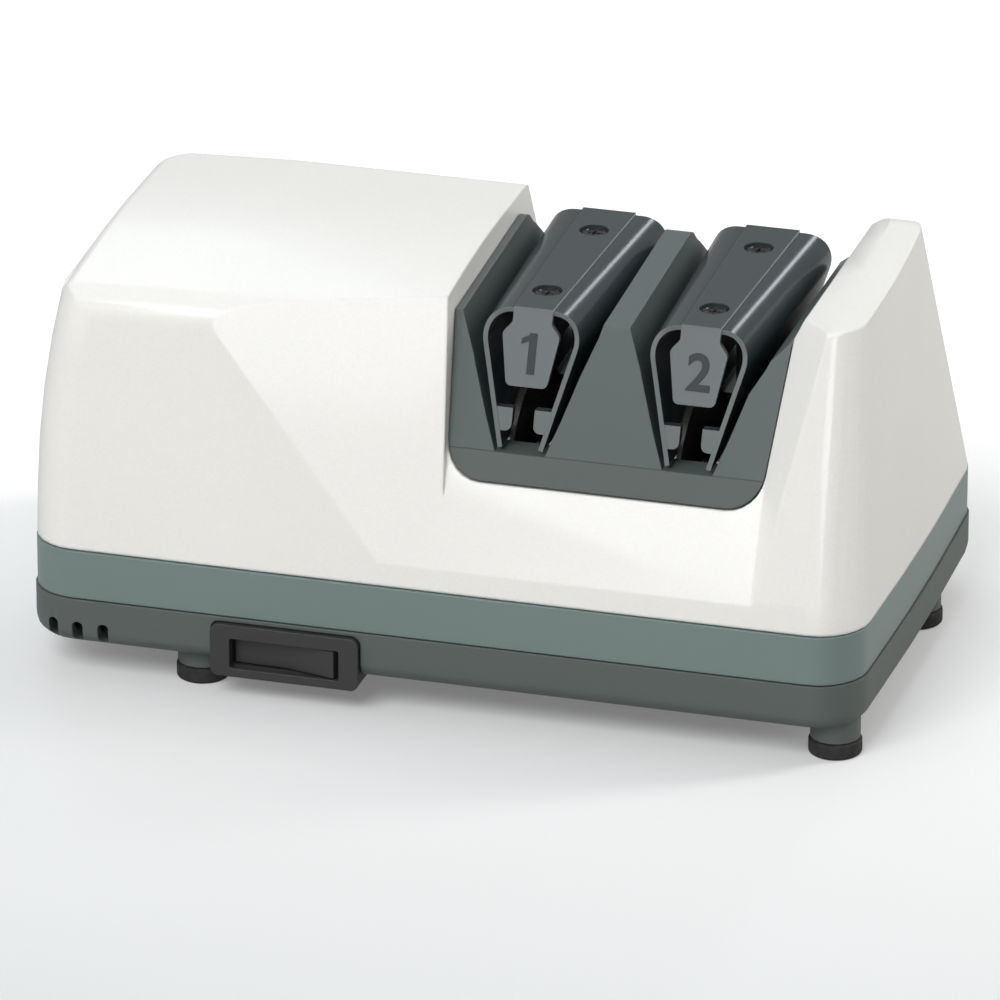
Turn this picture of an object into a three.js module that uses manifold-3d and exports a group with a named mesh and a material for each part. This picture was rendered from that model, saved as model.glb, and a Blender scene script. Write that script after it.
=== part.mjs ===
// Electric knife sharpener with two stages, standing on a worktop.
// Millimetres. +Z is up, -Y faces the user and +X is the user's right.
// A moulded cover, a trim band and a base tray enclose a shaded pole motor. Its long shaft
// turns two pairs of conical discs. A spring guide straddles each pair and holds the blade
// against a sloping wall of the grey insert, so the edge meets the discs at a set angle.

import * as THREE from 'three';
import { mergeVertices } from 'three/addons/utils/BufferGeometryUtils.js';
import Module from 'manifold-3d';

const wasm = await Module();
wasm.setup();

// Clearances and small common sizes

const fit = 0.3;          // between pieces that are cut by each other or rest on each other
const seat = 0.05;        // between flat faces that are clamped together
const runFit = 0.1;       // radial clearance of turning and sliding parts
const overrun = 40;       // how far a cutting tool runs past what it cuts
const weld = 0.0001;      // vertices closer than this are one

// Body

const plan = { length: 233, depth: 137, corner: 14, bow: 1.6, bowShare: 0.6 };
const foot = { radius: 7.2, height: 4.4, bevel: 0.9, stemRadius: 2.6, stemHeight: 3.4, fromLeft: 47, fromRight: 10,
  fromFront: 12.6, fromBack: 35.6 };
const collar = { radius: 6.8, height: 5.4 };
const tray = { height: 13.1, wall: 2.4, floor: 2.2, round: 4.2, innerRound: 2.5 };
const band = { height: 13.5, wall: 2.2, inset: 0.5 };
const cover = { height: 78.7, inset: 1.2, sideInset: 0.3, wall: 2.6, frontLean: 5, rightLean: 4, backRun: 34.3, corner: 14,
  bowFrom: 12.7, bowRadius: 250, bowSteps: 5 };
const roof = { frontDrop: 6.2, frontRound: 9, crownShare: 0.43, roundShare: 0.33, backRound: 2.4, sideRound: 3.5,
  foldFromLeft: 46.6, foldTilt: 2.3 };
const facet = { topShare: 0.432, topDrop: 8.7, footShare: 0.8866, footRise: 3.8, cornerBack: 24.3, cornerDrop: 3.6 };

// Recess between the motor housing at the left and the fin at the right

const recess = { besideFirst: 19.9, leftLean: 3, besideSecond: 21.2, rightLean: 6.4, lipRise: 5.2, floorRise: 27.7,
  creaseRise: 35.6, slope: 62.5, corner: 10, funnelRise: 71.4, shelfRise: 77.1, shelfRun: 2.8, rimFromRight: 13.5,
  rimTurn: 2.7 };
const fin = { frontRise: 78.4, frontRun: 19.8, frontRound: 3, footRound: 30, apexRise: 83.6, apexRound: 14, corner: 8 };
const flank = { footFromRight: 29.6, footUp: 2.7 };

// The two stages

const stage = { fromRight: 52.5, pitch: 46, lean: 20.7 };
const head = { height: 36.1, back: 102.8, footUp: 1.1, footHalf: 6.2, topHalf: 15.4, round: 7.6, wall: 1.3, roofWall: 3,
  spread: 0.24 };
const hook = { top: 11.2, height: 5.8, inner: 3, thick: 2.4, round: 2 };
const strip = { thick: 2, raised: 0.5, frontHalf: 5.4, backHalf: 7.4, overhang: 0.6 };
const plate = { proud: 0.4, thick: 1.6, neckDrop: 4, shoulderDrop: 6.8, shoulderHalf: 7.9, footDrop: 19.8, footHalf: 5.6,
  round: 1.6 };
const guideScrew = { fromFront: 12.8, pitch: 45.6, recess: 4.1, recessDepth: 1.5, headRadius: 3.5, headHeight: 1,
  radius: 1.5, length: 9 };
const post = { half: 4, rail: 9, railFront: 5.5, legFront: 80.5, legBack: 98.5 };
const guideWall = { low: 6.9, waist: 10.3, waistUp: 9.1, hip: 14.3, hipUp: 21.1, top: 19.4, topUp: 34.1, flareFrom: 29.6,
  flareRun: 6.5, flareUp: 36.2, lowSpread: 1.8, waistSpread: 2.4, hipSpread: 2.6 };
const insert = { skin: 2.4, frontUp: 34.1, crestUp: 38.2, crestRun: 91.3, heelUp: 22.3, heelRound: 6 };

// Discs and shaft

const shaft = { radius: 4, rise: 18.8, fromFront: 48.5, leftEnd: 10.5, rightEnd: 15 };
const disc = { radius: 28, rimIn: 4.5, rimOut: 6.3, smallRadius: 19.4, coneOut: 13.6, hubRadius: 8, hubOut: 15, dish: 23,
  seatIn: 6.6, clearance: 1.6, travel: 1.2 };
const pin = { radius: 1.25, half: 7, depth: 1.6 };
const spring = { wire: 0.9, radius: 5.9, turns: 3, gap: 0.2 };

// Motor

const stack = { fromLeft: 35, lengthShare: 0.427, half: 26, corner: 4, bore: 19.5, airGap: 0.5, ring: 3, ringRadius: 15, window: 26,
  windowEnd: 42.8, arm: 9, limb: 12 };
const coil = { flange: 1.6, former: 1.4, build: 6.5, depth: 1.2 };
const bracket = { gap: 5, plate: 3, half: 27, topHalf: 12, low: 10, round: 6, bossRadius: 9.5, bossLength: 7, foot: 9,
  footHeight: 3 };
const bearing = { radius: 6.5 };
const bolt = { spread: 22, radius: 2, headRadius: 3.8, headHeight: 2.4, spacer: 4.4 };
const fan = { radius: 25, hubRadius: 7, start: 1, length: 9, plate: 1.6, blade: 1.4, count: 9 };
const stand = { fromRight: 23, plate: 4, half: 13, top: 10, round: 9, foot: 10, footHeight: 3 };

// Base details

const baseScrew = { fromEnd: 22, fromSide: 17, radius: 1.6, headRadius: 3.4, headHeight: 2.2, boss: 5.4, bossHeight: 2.4,
  post: 4.2, bite: 12 };
const vent = { count: 3, first: 8.4, pitch: 7.2, width: 3, low: 0.8, high: 6.6, depth: 9 };
const grille = { count: 6, pitch: 6.4, width: 3, first: 38, from: 26, to: 72 };
const bezel = { left: 53.6, width: 41.4, low: 3.3, high: 11.7, proud: 1.6, depth: 15, front: 2.4, wall: 1.2, round: 2.2 };
const opening = { side: 5.4, low: 2.5, height: 8.6 };
const rocker = { gap: 0.4, tilt: 7, pivotBack: 6, depth: 5, recess: 1.9, valley: 1.3, pinRadius: 1.1, pinLength: 0.9 };
const terminal = { width: 4.8, thick: 0.8, length: 6, spread: 7 };
const bush = { fromLeft: 38, up: 6.8, flange: 5.8, body: 4.8, bore: 3.4, tail: 4 };

// Levels and places that follow from the sizes

const level = {};
level.collar = foot.height + fit;
level.under = level.collar + collar.height;
level.trayTop = level.under + tray.height;
level.trayFloor = level.under + tray.floor;
level.bandBottom = level.trayTop + fit;
level.bandTop = level.bandBottom + band.height;
level.cover = level.bandTop + fit;
level.roof = level.cover + cover.height;
level.lip = level.cover + recess.lipRise;
level.recess = level.cover + recess.floorRise;
level.crease = level.cover + recess.creaseRise;
level.head = level.crease + head.height;
level.shaft = level.cover + shaft.rise;
level.low = level.cover - overrun;
level.high = level.cover + fin.apexRise + overrun;

const body = { left: -plan.length / 2, right: plan.length / 2, front: -plan.depth / 2, back: plan.depth / 2 };
const edge = {
  left: body.left + cover.sideInset,
  right: body.right - cover.sideInset,
  front: body.front + cover.inset,
  back: body.back - cover.inset,
};
const shaftY = edge.front + shaft.fromFront;
const stages = [1, 0].map((index) => body.right - stage.fromRight - index * stage.pitch);
const housingRight = stages[0] - recess.besideFirst;
const stackLength = (housingRight - body.left - stack.fromLeft) * stack.lengthShare;
const arc = 3;
const turnSegments = 24;
const smallSegments = 16;
const leastSegments = 12;

const tan = (degrees) => Math.tan(THREE.MathUtils.degToRad(degrees));
const sin = (degrees) => Math.sin(THREE.MathUtils.degToRad(degrees));
const cos = (degrees) => Math.cos(THREE.MathUtils.degToRad(degrees));

const apexY = edge.back - fin.apexRise * cover.backRun / cover.height;
const finSlope = (fin.apexRise - fin.frontRise) / (apexY - edge.front - fin.frontRun);
const frontAt = (z) => edge.front + (z - level.cover) * tan(cover.frontLean);
const backAt = (z) => edge.back - (z - level.cover) * cover.backRun / cover.height;
const finTopAt = (y) => level.cover + fin.frontRise + (y - edge.front - fin.frontRun) * finSlope;
const leftAt = (z) => {
  const rise = Math.max(z - level.cover - cover.bowFrom, 0);
  return edge.left + cover.bowRadius - Math.sqrt(cover.bowRadius ** 2 - rise ** 2);
};
const rightAt = (z) => edge.right - (z - level.cover) * tan(cover.rightLean);
const apronAt = (z) => edge.front + (z - level.lip) / tan(recess.slope);
const leanAt = (z) => apronAt(level.crease) + (z - level.crease) * tan(stage.lean);
const recessLeftAt = (z) => housingRight - (z - level.crease) * tan(recess.leftLean);
const recessRightAt = (z) => stages[1] + recess.besideSecond + (z - level.crease) * tan(recess.rightLean);

// Helpers: outlines, lofts, prisms and turned shapes

function solid(geometry) {
  geometry.deleteAttribute('normal');
  geometry.deleteAttribute('uv');
  const merged = mergeVertices(geometry, weld);
  const place = merged.attributes.position;
  const corner = (index) => new THREE.Vector3().fromBufferAttribute(place, index);
  const triangles = [];
  let volume = 0;
  for (let i = 0; i < merged.index.count; i += 3) {
    const [a, b, c] = [0, 1, 2].map((step) => merged.index.getX(i + step));
    if (a === b || b === c || c === a) continue;
    triangles.push([a, b, c]);
    volume += corner(a).dot(corner(b).cross(corner(c)));
  }
  if (volume < 0) triangles.forEach((triangle) => triangle.reverse());
  const mesh = { numProp: 3, vertProperties: place.array, triVerts: new Uint32Array(triangles.flat()) };
  return new wasm.Manifold(new wasm.Mesh(mesh));
}

// Closed outline through corners [a, b, radius]. Grow moves every side outwards.
function outline(corners, grow = 0) {
  const points = corners.map(([a, b]) => new THREE.Vector2(a, b));
  const turn = Math.sign(THREE.ShapeUtils.area(points));
  const shape = new THREE.Shape();
  points.forEach((point, i) => {
    const into = point.clone().sub(points.at(i - 1)).normalize();
    const out = points[(i + 1) % points.length].clone().sub(point).normalize();
    const side = Math.sign(into.cross(out));
    const bisector = new THREE.Vector2(into.y + out.y, -into.x - out.x);
    const moved = point.clone().addScaledVector(bisector, turn * grow / (1 + into.dot(out)));
    const given = corners[i][2] ?? 0;
    const radius = given > 0 ? Math.max(given + grow * side * turn, 0) : 0;
    const angle = into.angleTo(out);
    const start = moved.clone().addScaledVector(into, -radius * Math.tan(angle / 2));
    if (i === 0) shape.moveTo(start.x, start.y);
    else shape.lineTo(start.x, start.y);
    if (radius === 0) return;
    const centre = start.clone().addScaledVector(new THREE.Vector2(-into.y, into.x), side * radius);
    const from = Math.atan2(start.y - centre.y, start.x - centre.x);
    shape.absarc(centre.x, centre.y, radius, from, from + side * angle, side < 0);
  });
  return shape;
}

// Triangles that fill an outline, as a fan where the outline is convex
function lid(points) {
  const convex = points.every((point, i) => {
    const into = point.clone().sub(points.at(i - 1));
    const out = points[(i + 1) % points.length].clone().sub(point);
    return into.cross(out) > -weld;
  });
  if (!convex) return THREE.ShapeUtils.triangulateShape([...points], []);
  return points.slice(2).map((_, i) => [0, i + 1, i + 2]);
}

// Solid through sections [shape, place], where place turns a point of the shape into [x, y, z].
function loft(sections) {
  const flat = sections.map(([shape]) => {
    const drawn = shape.getPoints(arc);
    const points = drawn.filter((point, i) => point.distanceTo(drawn.at(i - 1)) > weld);
    return THREE.ShapeUtils.isClockWise(points) ? points.reverse() : points;
  });
  const count = flat[0].length;
  const positions = sections.flatMap(([, place], i) => flat[i].flatMap((point) => place(point.x, point.y)));
  const index = [];
  for (let ring = 0; ring + 1 < sections.length; ring += 1) {
    for (let i = 0; i < count; i += 1) {
      const [a, b] = [ring * count + i, ring * count + (i + 1) % count];
      index.push(a, b, b + count, a, b + count, a + count);
    }
  }
  const last = (sections.length - 1) * count;
  lid(flat[0]).forEach(([a, b, c]) => index.push(c, b, a));
  lid(flat.at(-1)).forEach(([a, b, c]) => index.push(last + a, last + b, last + c));
  const geometry = new THREE.BufferGeometry();
  geometry.setAttribute('position', new THREE.Float32BufferAttribute(positions, 3));
  geometry.setIndex(index);
  return solid(geometry);
}

const planes = {
  x: (at) => (a, b) => [at, a, b],
  y: (at) => (a, b) => [a, at, b],
  z: (at) => (a, b) => [a, b, at],
};

function prism(axis, corners, from, to, grow = 0) {
  const shape = outline(corners, grow);
  const ends = axis === 'y' ? [to, from] : [from, to];
  return loft(ends.map((end) => [shape, planes[axis](end)]));
}

const rectangle = (a0, a1, b0, b1, radius = 0) => [[a0, b0, radius], [a1, b0, radius], [a1, b1, radius], [a0, b1, radius]];

const box = (x0, x1, y0, y1, z0, z1) => prism('z', rectangle(x0, x1, y0, y1), z0, z1);

// Turned shape with its profile [radius, along] about an axis through the centre
function turned(axis, profile, [x, y, z], segments = turnSegments) {
  const points = profile.map(([radius, along]) => new THREE.Vector2(radius, along));
  const geometry = new THREE.LatheGeometry([...points, points[0]], segments);
  if (axis === 'x') geometry.rotateZ(-Math.PI / 2);
  if (axis === 'z') geometry.rotateX(Math.PI / 2);
  geometry.translate(x, y, z);
  return solid(geometry);
}

const rod = (axis, radius, from, to, centre, segments) =>
  turned(axis, [[0, from], [radius, from], [radius, to], [0, to]], centre, segments);

// Everything on the far side of a plane
function beyond(point, normal) {
  const reach = plan.length * 4;
  const geometry = new THREE.BoxGeometry(reach, reach, reach);
  geometry.translate(0, 0, reach / 2);
  geometry.applyQuaternion(new THREE.Quaternion().setFromUnitVectors(new THREE.Vector3(0, 0, 1), normal));
  geometry.translate(point.x, point.y, point.z);
  return solid(geometry);
}

// A joined piece turned about an axis through the centre and then moved
function placed(piece, axis, degrees, offset) {
  const { vertProperties, triVerts } = piece.getMesh();
  const geometry = new THREE.BufferGeometry();
  geometry.setAttribute('position', new THREE.Float32BufferAttribute(vertProperties, 3));
  geometry.setIndex([...triVerts]);
  geometry.applyMatrix4(new THREE.Matrix4().makeRotationAxis(axis, THREE.MathUtils.degToRad(degrees)));
  geometry.translate(...offset);
  return solid(geometry);
}

const join = (pieces) => pieces.reduce((whole, piece) => whole.add(piece));
const cut = (whole, pieces) => pieces.reduce((rest, piece) => rest.subtract(piece), whole);

const group = new THREE.Group();
group.name = 'knife_sharpener';

const finish = {
  shell: { color: 0xe4e0d8, roughness: 0.3, metalness: 0 },
  band: { color: 0x6f8280, roughness: 0.45, metalness: 0 },
  tray: { color: 0x59625f, roughness: 0.5, metalness: 0 },
  insert: { color: 0x667674, roughness: 0.4, metalness: 0 },
  guide: { color: 0x3b444a, roughness: 0.18, metalness: 0 },
  plate: { color: 0x717e83, roughness: 0.4, metalness: 0.2 },
  rubber: { color: 0x1b1b1b, roughness: 0.85, metalness: 0 },
  bezel: { color: 0x32342f, roughness: 0.5, metalness: 0 },
  abrasive: { color: 0xa9abad, roughness: 0.4, metalness: 0.8 },
  steel: { color: 0xb3b5b6, roughness: 0.3, metalness: 0.9 },
  iron: { color: 0x6b6d70, roughness: 0.6, metalness: 0.7 },
  copper: { color: 0xa8643a, roughness: 0.35, metalness: 0.8 },
  brass: { color: 0xb08d4f, roughness: 0.35, metalness: 0.8 },
  nylon: { color: 0xd8d3c4, roughness: 0.55, metalness: 0 },
};

function add(name, piece, look) {
  const { vertProperties, triVerts } = piece.getMesh();
  const geometry = new THREE.BufferGeometry();
  geometry.setAttribute('position', new THREE.Float32BufferAttribute(vertProperties, 3));
  geometry.setIndex([...triVerts]);
  geometry.computeVertexNormals();
  const mesh = new THREE.Mesh(geometry, new THREE.MeshStandardMaterial(finish[look]));
  mesh.name = name;
  group.add(mesh);
}

// Cover

// Outline seen from above. The right side bows out by a long arc.
function planCorners({ left, right, front, back, corner }) {
  const half = (back - front) / 2;
  return [
    [left, front, corner],
    [right - plan.bow, front, corner],
    [right, front + half, (half - corner) * plan.bowShare / (plan.bow / half)],
    [right - plan.bow, back, corner],
    [left, back, corner],
  ];
}

const bowLevels = Array.from({ length: cover.bowSteps + 1 }, (_, i) =>
  level.cover + cover.bowFrom + (fin.apexRise - cover.bowFrom) * i / cover.bowSteps);

// Walls of the cover, which lean in at every side. The left one also bows.
function coverLoft(from, grow) {
  const sections = [from, ...bowLevels, level.high].map((z) => {
    const frame = { left: leftAt(z), right: rightAt(z), front: frontAt(z), back: backAt(z), corner: cover.corner };
    return [outline(planCorners(frame), grow), planes.z(z)];
  });
  return loft(sections);
}

const crownY = frontAt(level.roof - roof.frontDrop);
const roofRun = backAt(level.roof) - crownY;
const crownRound = roofRun * roof.roundShare / Math.tan(Math.atan(roof.frontDrop / (roofRun * roof.crownShare)) / 2);
const housingBack = [[backAt(level.low), level.low], [backAt(level.roof), level.roof, roof.backRound]];
const housingFront = [
  [crownY + roofRun * roof.crownShare, level.roof, crownRound],
  [crownY, level.roof - roof.frontDrop, roof.frontRound],
  [frontAt(level.low), level.low],
];
const finSide = [
  [backAt(level.low), level.low],
  [apexY, level.cover + fin.apexRise, fin.apexRound],
  [edge.front + fin.frontRun, level.cover + fin.frontRise, fin.frontRound],
  [edge.front, level.lip, fin.footRound],
  [edge.front, level.low],
];

// The housing's top follows one profile, rounded over at the left and tilted beyond a fold line.
function housingBlock(grow) {
  const shape = outline([...housingBack, ...housingFront], grow);
  const foldX = body.left + roof.foldFromLeft;
  const leftX = leftAt(level.roof - roof.sideRound) - grow;
  const round = roof.sideRound + grow;
  const tilt = (x) => (foldX - x) * tan(roof.foldTilt);
  const section = (x, drop) => [shape, (y, z) => [x, y, z - drop]];
  const steps = [0, 15, 30, 50, 70, 90].map((angle) => {
    const x = leftX + round * (1 - cos(angle));
    return section(x, round * (1 - sin(angle)) + tilt(x));
  });
  const start = section(body.left - overrun, round + tilt(leftX));
  return loft([start, ...steps, section(foldX, 0), section(stages[1], 0)]);
}

// The fin at the right: its own leaning front with soft corners, and a top that rises to the back
function finBlock(grow) {
  const run = fin.frontRun / (fin.frontRise - recess.lipRise);
  const sections = [level.low, level.lip, level.high].map((z) => {
    const front = edge.front + Math.max(z - level.lip, 0) * run;
    const soft = cover.corner + (fin.corner - cover.corner) * Math.max(z - level.lip, 0) / fin.frontRise;
    const frame = { left: housingRight, right: rightAt(z), front, back: backAt(z), corner: soft };
    return [outline(planCorners(frame), grow), planes.z(z)];
  });
  return prism('x', finSide, stages[0], body.right + overrun, grow).intersect(loft(sections));
}

// What lies above the slope that rises from the lip, which the facet also runs into
function aboveApron(grow) {
  const slope = new THREE.Vector3(0, -sin(recess.slope), cos(recess.slope));
  return beyond(new THREE.Vector3(0, edge.front, level.lip).addScaledVector(slope, grow), slope);
}

function facetCut(grow) {
  const width = housingRight - body.left;
  const top = new THREE.Vector3(body.left + width * facet.topShare, 0, level.roof - facet.topDrop);
  top.y = frontAt(top.z);
  const toe = new THREE.Vector3(body.left + width * facet.footShare, 0, level.cover + facet.footRise);
  toe.y = frontAt(toe.z);
  const corner = new THREE.Vector3(housingRight, edge.front + facet.cornerBack, level.roof - facet.cornerDrop);
  const normal = toe.clone().sub(top).cross(corner.clone().sub(top)).normalize();
  if (normal.y > 0) normal.negate();
  const point = top.clone().addScaledVector(normal, grow);
  const right = recessLeftAt(level.cover) - grow;
  const zone = box(top.x - overrun, right, body.front - overrun, body.back, level.low, level.high);
  return beyond(point, normal).intersect(zone).intersect(aboveApron(grow));
}

const recessSides = (bottom, corner) => [
  [recessLeftAt(bottom), bottom, corner],
  [recessRightAt(bottom), bottom, corner],
];

// Section of the recess across the body, with the shelf that rises to the fin's top strip
function recessOutline(y) {
  const funnel = level.cover + recess.funnelRise;
  const shelf = level.cover + recess.shelfRise;
  const rim = body.right - recess.rimFromRight - (y - edge.front - fin.frontRun) * tan(recess.rimTurn);
  return [
    ...recessSides(level.recess, recess.corner),
    [recessRightAt(funnel), funnel],
    [recessRightAt(funnel) + recess.shelfRun, shelf],
    [rim, finTopAt(y)],
    [rim, level.high],
    [recessLeftAt(level.high), level.high],
  ];
}

function recessCut(grow) {
  const stops = [0, 0.25, 0.5, 0.75, 1].map((share) => apexY + (edge.front + fin.frontRun - apexY) * share);
  const through = loft([body.back + overrun, ...stops, body.front - overrun].map((y) =>
    [outline(recessOutline(y), grow), planes.y(y)]));
  const wall = new THREE.Vector3(cos(recess.leftLean), 0, sin(recess.leftLean));
  const wallFoot = new THREE.Vector3(recessLeftAt(level.crease), 0, level.crease).addScaledVector(wall, -grow);
  const low = new THREE.Vector3(recessRightAt(level.crease), leanAt(level.crease), level.crease);
  const high = new THREE.Vector3(recessRightAt(level.head), leanAt(level.head), level.head);
  const toe = new THREE.Vector3(body.right - flank.footFromRight, edge.front, level.lip + flank.footUp);
  const side = high.clone().sub(low).cross(toe.clone().sub(low)).normalize();
  if (side.x > 0) side.negate();
  const flankPoint = low.clone().addScaledVector(side, -grow);
  const ledge = aboveApron(-grow).intersect(beyond(wallFoot, wall)).intersect(beyond(flankPoint, side));
  return through.add(ledge);
}

function coverBody(grow) {
  const from = grow < 0 ? level.low : level.cover;
  const whole = coverLoft(from, grow).intersect(join([housingBlock(grow), finBlock(grow)]));
  return cut(whole, [facetCut(grow), recessCut(-grow)]);
}

const screwPlaces = [];
for (const x of [body.left + baseScrew.fromEnd, body.right - baseScrew.fromEnd]) {
  for (const y of [body.front + baseScrew.fromSide, body.back - baseScrew.fromSide]) screwPlaces.push([x, y]);
}

const screwBossTop = level.trayFloor + baseScrew.bossHeight;

function topCover() {
  const outside = coverBody(0);
  const window = box(
    stages[0] - disc.hubOut - disc.clearance,
    stages[1] + disc.hubOut + disc.clearance,
    shaftY - disc.radius - disc.clearance,
    shaftY + disc.radius + disc.clearance,
    level.recess - overrun / 2,
    level.recess + cover.wall,
  );
  const posts = screwPlaces.map(([x, y]) => {
    const full = rod('z', baseScrew.post, level.cover, level.high, [x, y, 0], leastSegments).intersect(outside);
    return full.add(rod('z', baseScrew.post, screwBossTop + seat, level.cover + cover.wall, [x, y, 0], leastSegments));
  });
  const bores = screwPlaces.map(([x, y]) =>
    rod('z', baseScrew.radius + runFit, level.under, screwBossTop + baseScrew.bite + fit, [x, y, 0], leastSegments));
  return cut(join([outside.subtract(coverBody(-cover.wall)).subtract(window), ...posts]), bores);
}

// Band, tray and feet

const bodyRing = (inset, z) => [outline(planCorners({ ...body, corner: plan.corner }), -inset), planes.z(z)];

function trimBand() {
  const outside = loft([bodyRing(band.inset, level.bandBottom), bodyRing(band.inset, level.bandTop)]);
  const inner = band.inset + band.wall;
  return outside.subtract(loft([bodyRing(inner, level.bandBottom - fit), bodyRing(inner, level.bandTop + fit)]));
}

const footPlaces = [];
for (const x of [body.left + foot.fromLeft, body.right - foot.fromRight]) {
  for (const y of [body.front + foot.fromFront, body.back - foot.fromBack]) footPlaces.push([x, y]);
}

const bezelBox = {
  left: body.left + bezel.left,
  right: body.left + bezel.left + bezel.width,
  low: level.under - bezel.low,
  high: level.under + bezel.high,
  front: body.front - bezel.proud,
};

function baseTray() {
  const rounds = [0, 30, 60, 90].map((angle) =>
    bodyRing(tray.round * (1 - sin(angle)), level.under + tray.round * (1 - cos(angle))));
  const outside = loft([...rounds, bodyRing(0, level.trayTop)]);
  const inside = loft([
    bodyRing(tray.wall + tray.innerRound, level.trayFloor),
    bodyRing(tray.wall, level.trayFloor + tray.innerRound),
    bodyRing(tray.wall, level.trayTop + fit),
  ]);
  const collars = footPlaces.map(([x, y]) => rod('z', collar.radius, level.collar, level.trayFloor, [x, y, 0], smallSegments));
  const bosses = screwPlaces.map(([x, y]) => rod('z', baseScrew.boss, level.under, screwBossTop, [x, y, 0], leastSegments));
  const sockets = footPlaces.map(([x, y]) =>
    rod('z', foot.stemRadius + runFit, level.collar - fit, level.collar + foot.stemHeight, [x, y, 0], leastSegments));
  const screwHoles = screwPlaces.flatMap(([x, y]) => [
    rod('z', baseScrew.radius + runFit, level.under - fit, level.trayTop, [x, y, 0], leastSegments),
    rod('z', baseScrew.headRadius + fit, level.under - fit, level.under + baseScrew.headHeight + seat, [x, y, 0], leastSegments),
  ]);
  const switchHole = prism(
    'y',
    rectangle(bezelBox.left, bezelBox.right, bezelBox.low, bezelBox.high, bezel.round),
    body.front - overrun,
    body.front + bezel.depth,
    fit,
  );
  const vents = Array.from({ length: vent.count }, (_, i) => {
    const x = body.left + vent.first + i * vent.pitch;
    const slot = rectangle(x - vent.width / 2, x + vent.width / 2, level.under + vent.low, level.under + vent.high,
      vent.width * 0.45);
    return prism('y', slot, body.front - fit, body.front + vent.depth);
  });
  const slots = Array.from({ length: grille.count }, (_, i) => {
    const x = body.left + grille.first + i * grille.pitch;
    const slot = rectangle(x - grille.width / 2, x + grille.width / 2, body.front + grille.from, body.front + grille.to,
      grille.width * 0.45);
    return prism('z', slot, level.under - fit, level.trayFloor + fit);
  });
  const cordHole = rod('y', bush.body + runFit, body.back - tray.wall - bush.tail - fit, body.back + fit,
    [body.left + bush.fromLeft, 0, level.under + bush.up], smallSegments);
  const shell = join([outside.subtract(inside), ...collars, ...bosses]);
  return cut(shell, [...sockets, ...screwHoles, switchHole, ...vents, ...slots, cordHole]);
}

function rubberFoot([x, y]) {
  const profile = [
    [0, 0],
    [foot.radius - foot.bevel, 0],
    [foot.radius, foot.bevel],
    [foot.radius, foot.height],
    [foot.stemRadius, foot.height],
    [foot.stemRadius, foot.height + foot.stemHeight],
    [0, foot.height + foot.stemHeight],
  ];
  return turned('z', profile, [x, y, 0], smallSegments);
}

function baseScrewPiece([x, y]) {
  const top = level.under + baseScrew.headHeight;
  const profile = [
    [0, level.under],
    [baseScrew.headRadius, level.under],
    [baseScrew.headRadius, top],
    [baseScrew.radius, top],
    [baseScrew.radius, screwBossTop + baseScrew.bite],
    [0, screwBossTop + baseScrew.bite],
  ];
  return turned('z', profile, [x, y, 0], leastSegments);
}

function cordBush() {
  const back = body.back;
  const profile = [
    [bush.bore, back - tray.wall - bush.tail],
    [bush.body, back - tray.wall - bush.tail],
    [bush.body, back + seat],
    [bush.flange, back + seat],
    [bush.flange, back + bezel.proud],
    [bush.bore, back + bezel.proud],
  ];
  return turned('y', profile, [body.left + bush.fromLeft, 0, level.under + bush.up], smallSegments);
}

// Switch

const mouth = {
  left: bezelBox.left + opening.side,
  right: bezelBox.right - opening.side,
  low: bezelBox.low + opening.low,
  high: bezelBox.low + opening.low + opening.height,
};
const switchBack = bezelBox.front + bezel.depth;
const pivot = { x: (mouth.left + mouth.right) / 2, y: bezelBox.front + rocker.pivotBack };

function switchBezel() {
  const frame = rectangle(bezelBox.left, bezelBox.right, bezelBox.low, bezelBox.high, bezel.round);
  const hollow = rectangle(bezelBox.left + bezel.wall, bezelBox.right - bezel.wall, bezelBox.low + bezel.wall,
    bezelBox.high - bezel.wall);
  return cut(prism('y', frame, bezelBox.front, switchBack), [
    prism('y', hollow, bezelBox.front + bezel.front, switchBack + fit),
    prism('y', rectangle(mouth.left, mouth.right, mouth.low, mouth.high, bezel.wall / 2), bezelBox.front - fit, switchBack),
  ]);
}

function switchBody() {
  const side = opening.side - bezel.wall - seat;
  const under = opening.low - bezel.wall - seat;
  const front = bezelBox.front + bezel.front + seat;
  const block = box(mouth.left - side, mouth.right + side, front, switchBack - seat, mouth.low - under, mouth.high + under);
  const cavity = box(mouth.left, mouth.right, front - fit, bezelBox.front + rocker.pivotBack + rocker.depth + fit, mouth.low,
    mouth.high);
  const pinHole = rod('z', rocker.pinRadius + runFit, mouth.low - rocker.pinLength, mouth.high + rocker.pinLength,
    [pivot.x, pivot.y, 0], 20);
  const tabs = [-terminal.spread, terminal.spread].map((offset) =>
    box(pivot.x + offset - terminal.width / 2, pivot.x + offset + terminal.width / 2, switchBack - terminal.thick,
      switchBack + terminal.length, mouth.low + terminal.width, mouth.low + terminal.width + terminal.thick));
  return join([cut(block, [cavity, pinHole]), ...tabs]);
}

// The rocker is drawn level and then tilted to its off position.
function rockerButton() {
  const reach = (mouth.right - mouth.left) / 2 - rocker.gap;
  const front = rocker.recess - rocker.pivotBack;
  const rise = rocker.valley + reach * tan(rocker.tilt);
  const face = [[-reach, front], [0, front + rocker.valley], [reach, front], [reach, rocker.depth - rise],
    [0, rocker.depth], [-reach, rocker.depth - rise]];
  const lobes = prism('z', face, mouth.low + rocker.gap, mouth.high - rocker.gap);
  const round = rod('z', reach, mouth.low, mouth.high, [0, 0, 0]);
  const pinEnd = rocker.pinLength - runFit;
  const stub = rod('z', rocker.pinRadius, mouth.low - pinEnd, mouth.high + pinEnd, [0, 0, 0], 20);
  const untilted = lobes.intersect(round).add(stub);
  return placed(untilted, new THREE.Vector3(0, 0, 1), -rocker.tilt, [pivot.x, pivot.y, 0]);
}

// Guide insert

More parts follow.
